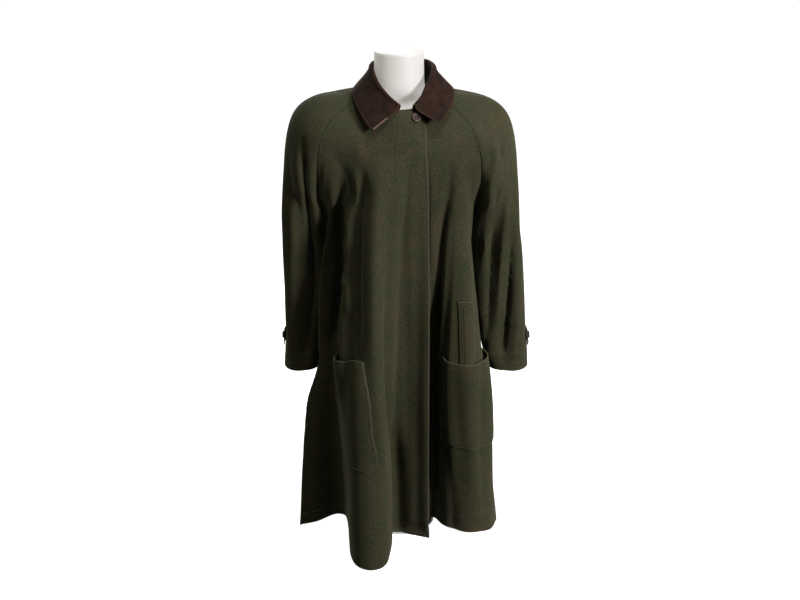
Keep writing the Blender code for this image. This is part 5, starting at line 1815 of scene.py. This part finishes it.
def set_stage():
    """A plain pale floor, soft studio lights and the photograph's camera."""
    made = Nodes("floor_pale")
    tone = made.noise(3, 2, 0.5)
    pale = made.ramp(tone, (0.3, (0.93, 0.93, 0.93)), (0.7, (0.95, 0.95, 0.95)))
    made.set(
        Base_Color=pale, Roughness=0.9, Specular_IOR_Level=0.0,
        Emission_Color=(1.0, 1.0, 1.0, 1.0), Emission_Strength=1.0,
    )
    made_floor = bmesh.new()
    bmesh.ops.create_grid(made_floor, x_segments=8, y_segments=8, size=30.0)
    mesh = bpy.data.meshes.new("floor")
    made_floor.to_mesh(mesh)
    made_floor.free()
    mesh.materials.append(made.material)
    floor = add_object("floor", mesh)
    floor.visible_diffuse = False
    floor.visible_glossy = False

    world = bpy.data.worlds.new("studio")
    world.use_nodes = True
    background = world.node_tree.nodes["Background"].inputs
    background["Color"].default_value = (1.0, 1.0, 1.0, 1.0)
    background["Strength"].default_value = 1.0
    world.cycles_visibility.diffuse = False
    bpy.context.scene.world = world
    for name, at, aim, size, power, colour in LIGHTS:
        light = bpy.data.lights.new(name, "AREA")
        light.shape = "DISK"
        light.size = size
        light.energy = power
        light.color = colour
        lamp = add_object(name, light)
        lamp.location = at
        lamp.rotation_euler = (Vector(aim) - Vector(at)).to_track_quat("-Z", "Y").to_euler()

    camera = bpy.data.cameras.new("camera")
    camera.lens = LENS
    camera.sensor_width = SENSOR
    eye = add_object("camera", camera)
    eye.location = CAMERA_AT
    eye.rotation_euler = (math.radians(CAMERA_TILT), 0.0, 0.0)
    bpy.context.scene.camera = eye
    bpy.context.scene.view_settings.view_transform = "Standard"
    bpy.context.scene.view_settings.look = "None"


UNDERARM_ROW = ROWS_EACH * (len(SKIRT_LEVELS) - 1)
SKIRT_ROW = {z: ROWS_EACH * k for k, z in enumerate(SKIRT_LEVELS)}
TAB_ROWS = [RAGLAN_STEPS + SLEEVE_ROWS_EACH * (1 + ARM_LEVELS.index(z)) for z in TAB_LEVELS]
TAB_END_COLUMNS = 7
FIRST_POCKET_COLUMN = {
    side: len(EDGE_STEPS) + FRONT_COLUMNS[side][0] for side in ("right", "left")
}

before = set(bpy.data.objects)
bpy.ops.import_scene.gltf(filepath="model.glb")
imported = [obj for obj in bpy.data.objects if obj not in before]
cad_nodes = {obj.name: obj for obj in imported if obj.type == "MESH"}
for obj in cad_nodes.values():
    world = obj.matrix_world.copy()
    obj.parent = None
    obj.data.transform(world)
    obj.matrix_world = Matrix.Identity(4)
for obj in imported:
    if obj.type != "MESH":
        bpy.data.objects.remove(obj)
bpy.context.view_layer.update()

COAT, MARKS = dress_coat()
FLY, FLY_OUT = pixel_line(COAT["front_right"], FLY_PIXELS)
MARKS["front_right"]["fly"] = line_mark(COAT["front_right"], FLY)

body_grooves = [("seam", 0.0), ("raglan", TOPSTITCH), ("hem", HEM_STITCH)]
WOOL = {
    "front_right": loden(
        "loden_front_right", body_grooves + [("middle", EDGE_STITCH), ("fly", 0.0)]
    ),
    "front_left": loden("loden_front_left", body_grooves + [("middle", EDGE_STITCH)]),
    "back": loden("loden_back", body_grooves),
    "sleeve": loden("loden_sleeve", [("seam", 0.0), ("over", TOPSTITCH), ("hem", HEM_STITCH)]),
    "pocket": loden(
        "loden_pocket", [("sides", at) for at in POCKET_STITCHES] + [("mouth", MOUTH_STITCH)]
    ),
}
THREAD = thread("thread_olive", (0.020, 0.022, 0.012), (0.050, 0.050, 0.030))
DARK_THREAD = thread("thread_brown", (0.010, 0.006, 0.005), (0.030, 0.018, 0.013))

add_panels(COAT, MARKS, WOOL, lining())
for side, panel in add_pockets(COAT, WOOL):
    rows, columns = panel.points.shape[:2]
    lines = [column_line(panel, off, last) for off in POCKET_STITCHES for last in (False, True)]
    lines.append(row_line(panel, rows - 1 - MOUTH_STITCH_ROW, 2, columns - 3))
    lines += [row_line(panel, row, 3, columns - 4) for row in BOTTOM_STITCH_ROWS]
    add_stitches(f"stitches_patch_pocket_{side}", lines, THREAD)
for side, panel in add_welts(COAT, WOOL):
    lines = [column_line(panel, POCKET_STITCHES[0], last) for last in (False, True)]
    add_stitches(f"stitches_welt_{side}", lines, THREAD)
for side, panel in add_tabs(COAT, WOOL):
    rows = (TAB_STITCH_ROW, len(panel.points) - 1 - TAB_STITCH_ROW)
    lines = [row_line(panel, row) for row in rows]
    lines.append(column_line(panel, TAB_END_STITCH, True))
    add_stitches(f"stitches_cuff_tab_{side}", lines, THREAD)

for name, panel in COAT.items():
    lines = panel_stitches(name, panel)
    if name == "front_right":
        lines.append((FLY, FLY_OUT))
    add_stitches(f"stitches_{name}", lines, THREAD)

COLLAR = add_collar(corduroy())
PALE_THREAD = thread("thread_pale", (0.090, 0.058, 0.045), (0.240, 0.180, 0.150))
frayed = []
first_cell, last_cell = (COLLAR.points.shape[1] - cells for cells in FRAY_CELLS)
for place in np.arange(first_cell, last_cell, FRAY_APART):
    ends = [COLLAR.at(row, place + FRAY_SLANT * row / FRAY_ROWS) for row in (0.4, FRAY_ROWS)]
    frayed.append(([p for p, _ in ends], [n for _, n in ends]))
add_stitches(
    "stitches_collar", frayed, PALE_THREAD, slot="corduroy", pitch=0.0046, share=0.9, radius=0.0007
)
add_stitches(
    "stitches_buttonhole", [pixel_line(COAT["front_right"], BUTTONHOLE_PIXELS)], DARK_THREAD,
    pitch=0.0040, share=0.98, radius=0.0012,
)
HORN = horn()
for name, radius in (
    ("neck_button", 0.0095), ("cuff_button_right", 0.0080), ("cuff_button_left", 0.0080)
):
    lines = add_button(f"horn_{name}", name, radius, HORN)
    pitch = lengths(lines[0][0])[-1] * 0.999
    add_stitches(
        f"thread_{name}", lines, DARK_THREAD, slot="horn", pitch=pitch, share=1.0, radius=0.00028
    )
add_form(form_white())
STEEL = steel()
for name in ("form_pole", "form_foot"):
    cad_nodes[name].data.materials.clear()
    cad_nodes[name].data.materials.append(STEEL)
set_stage()
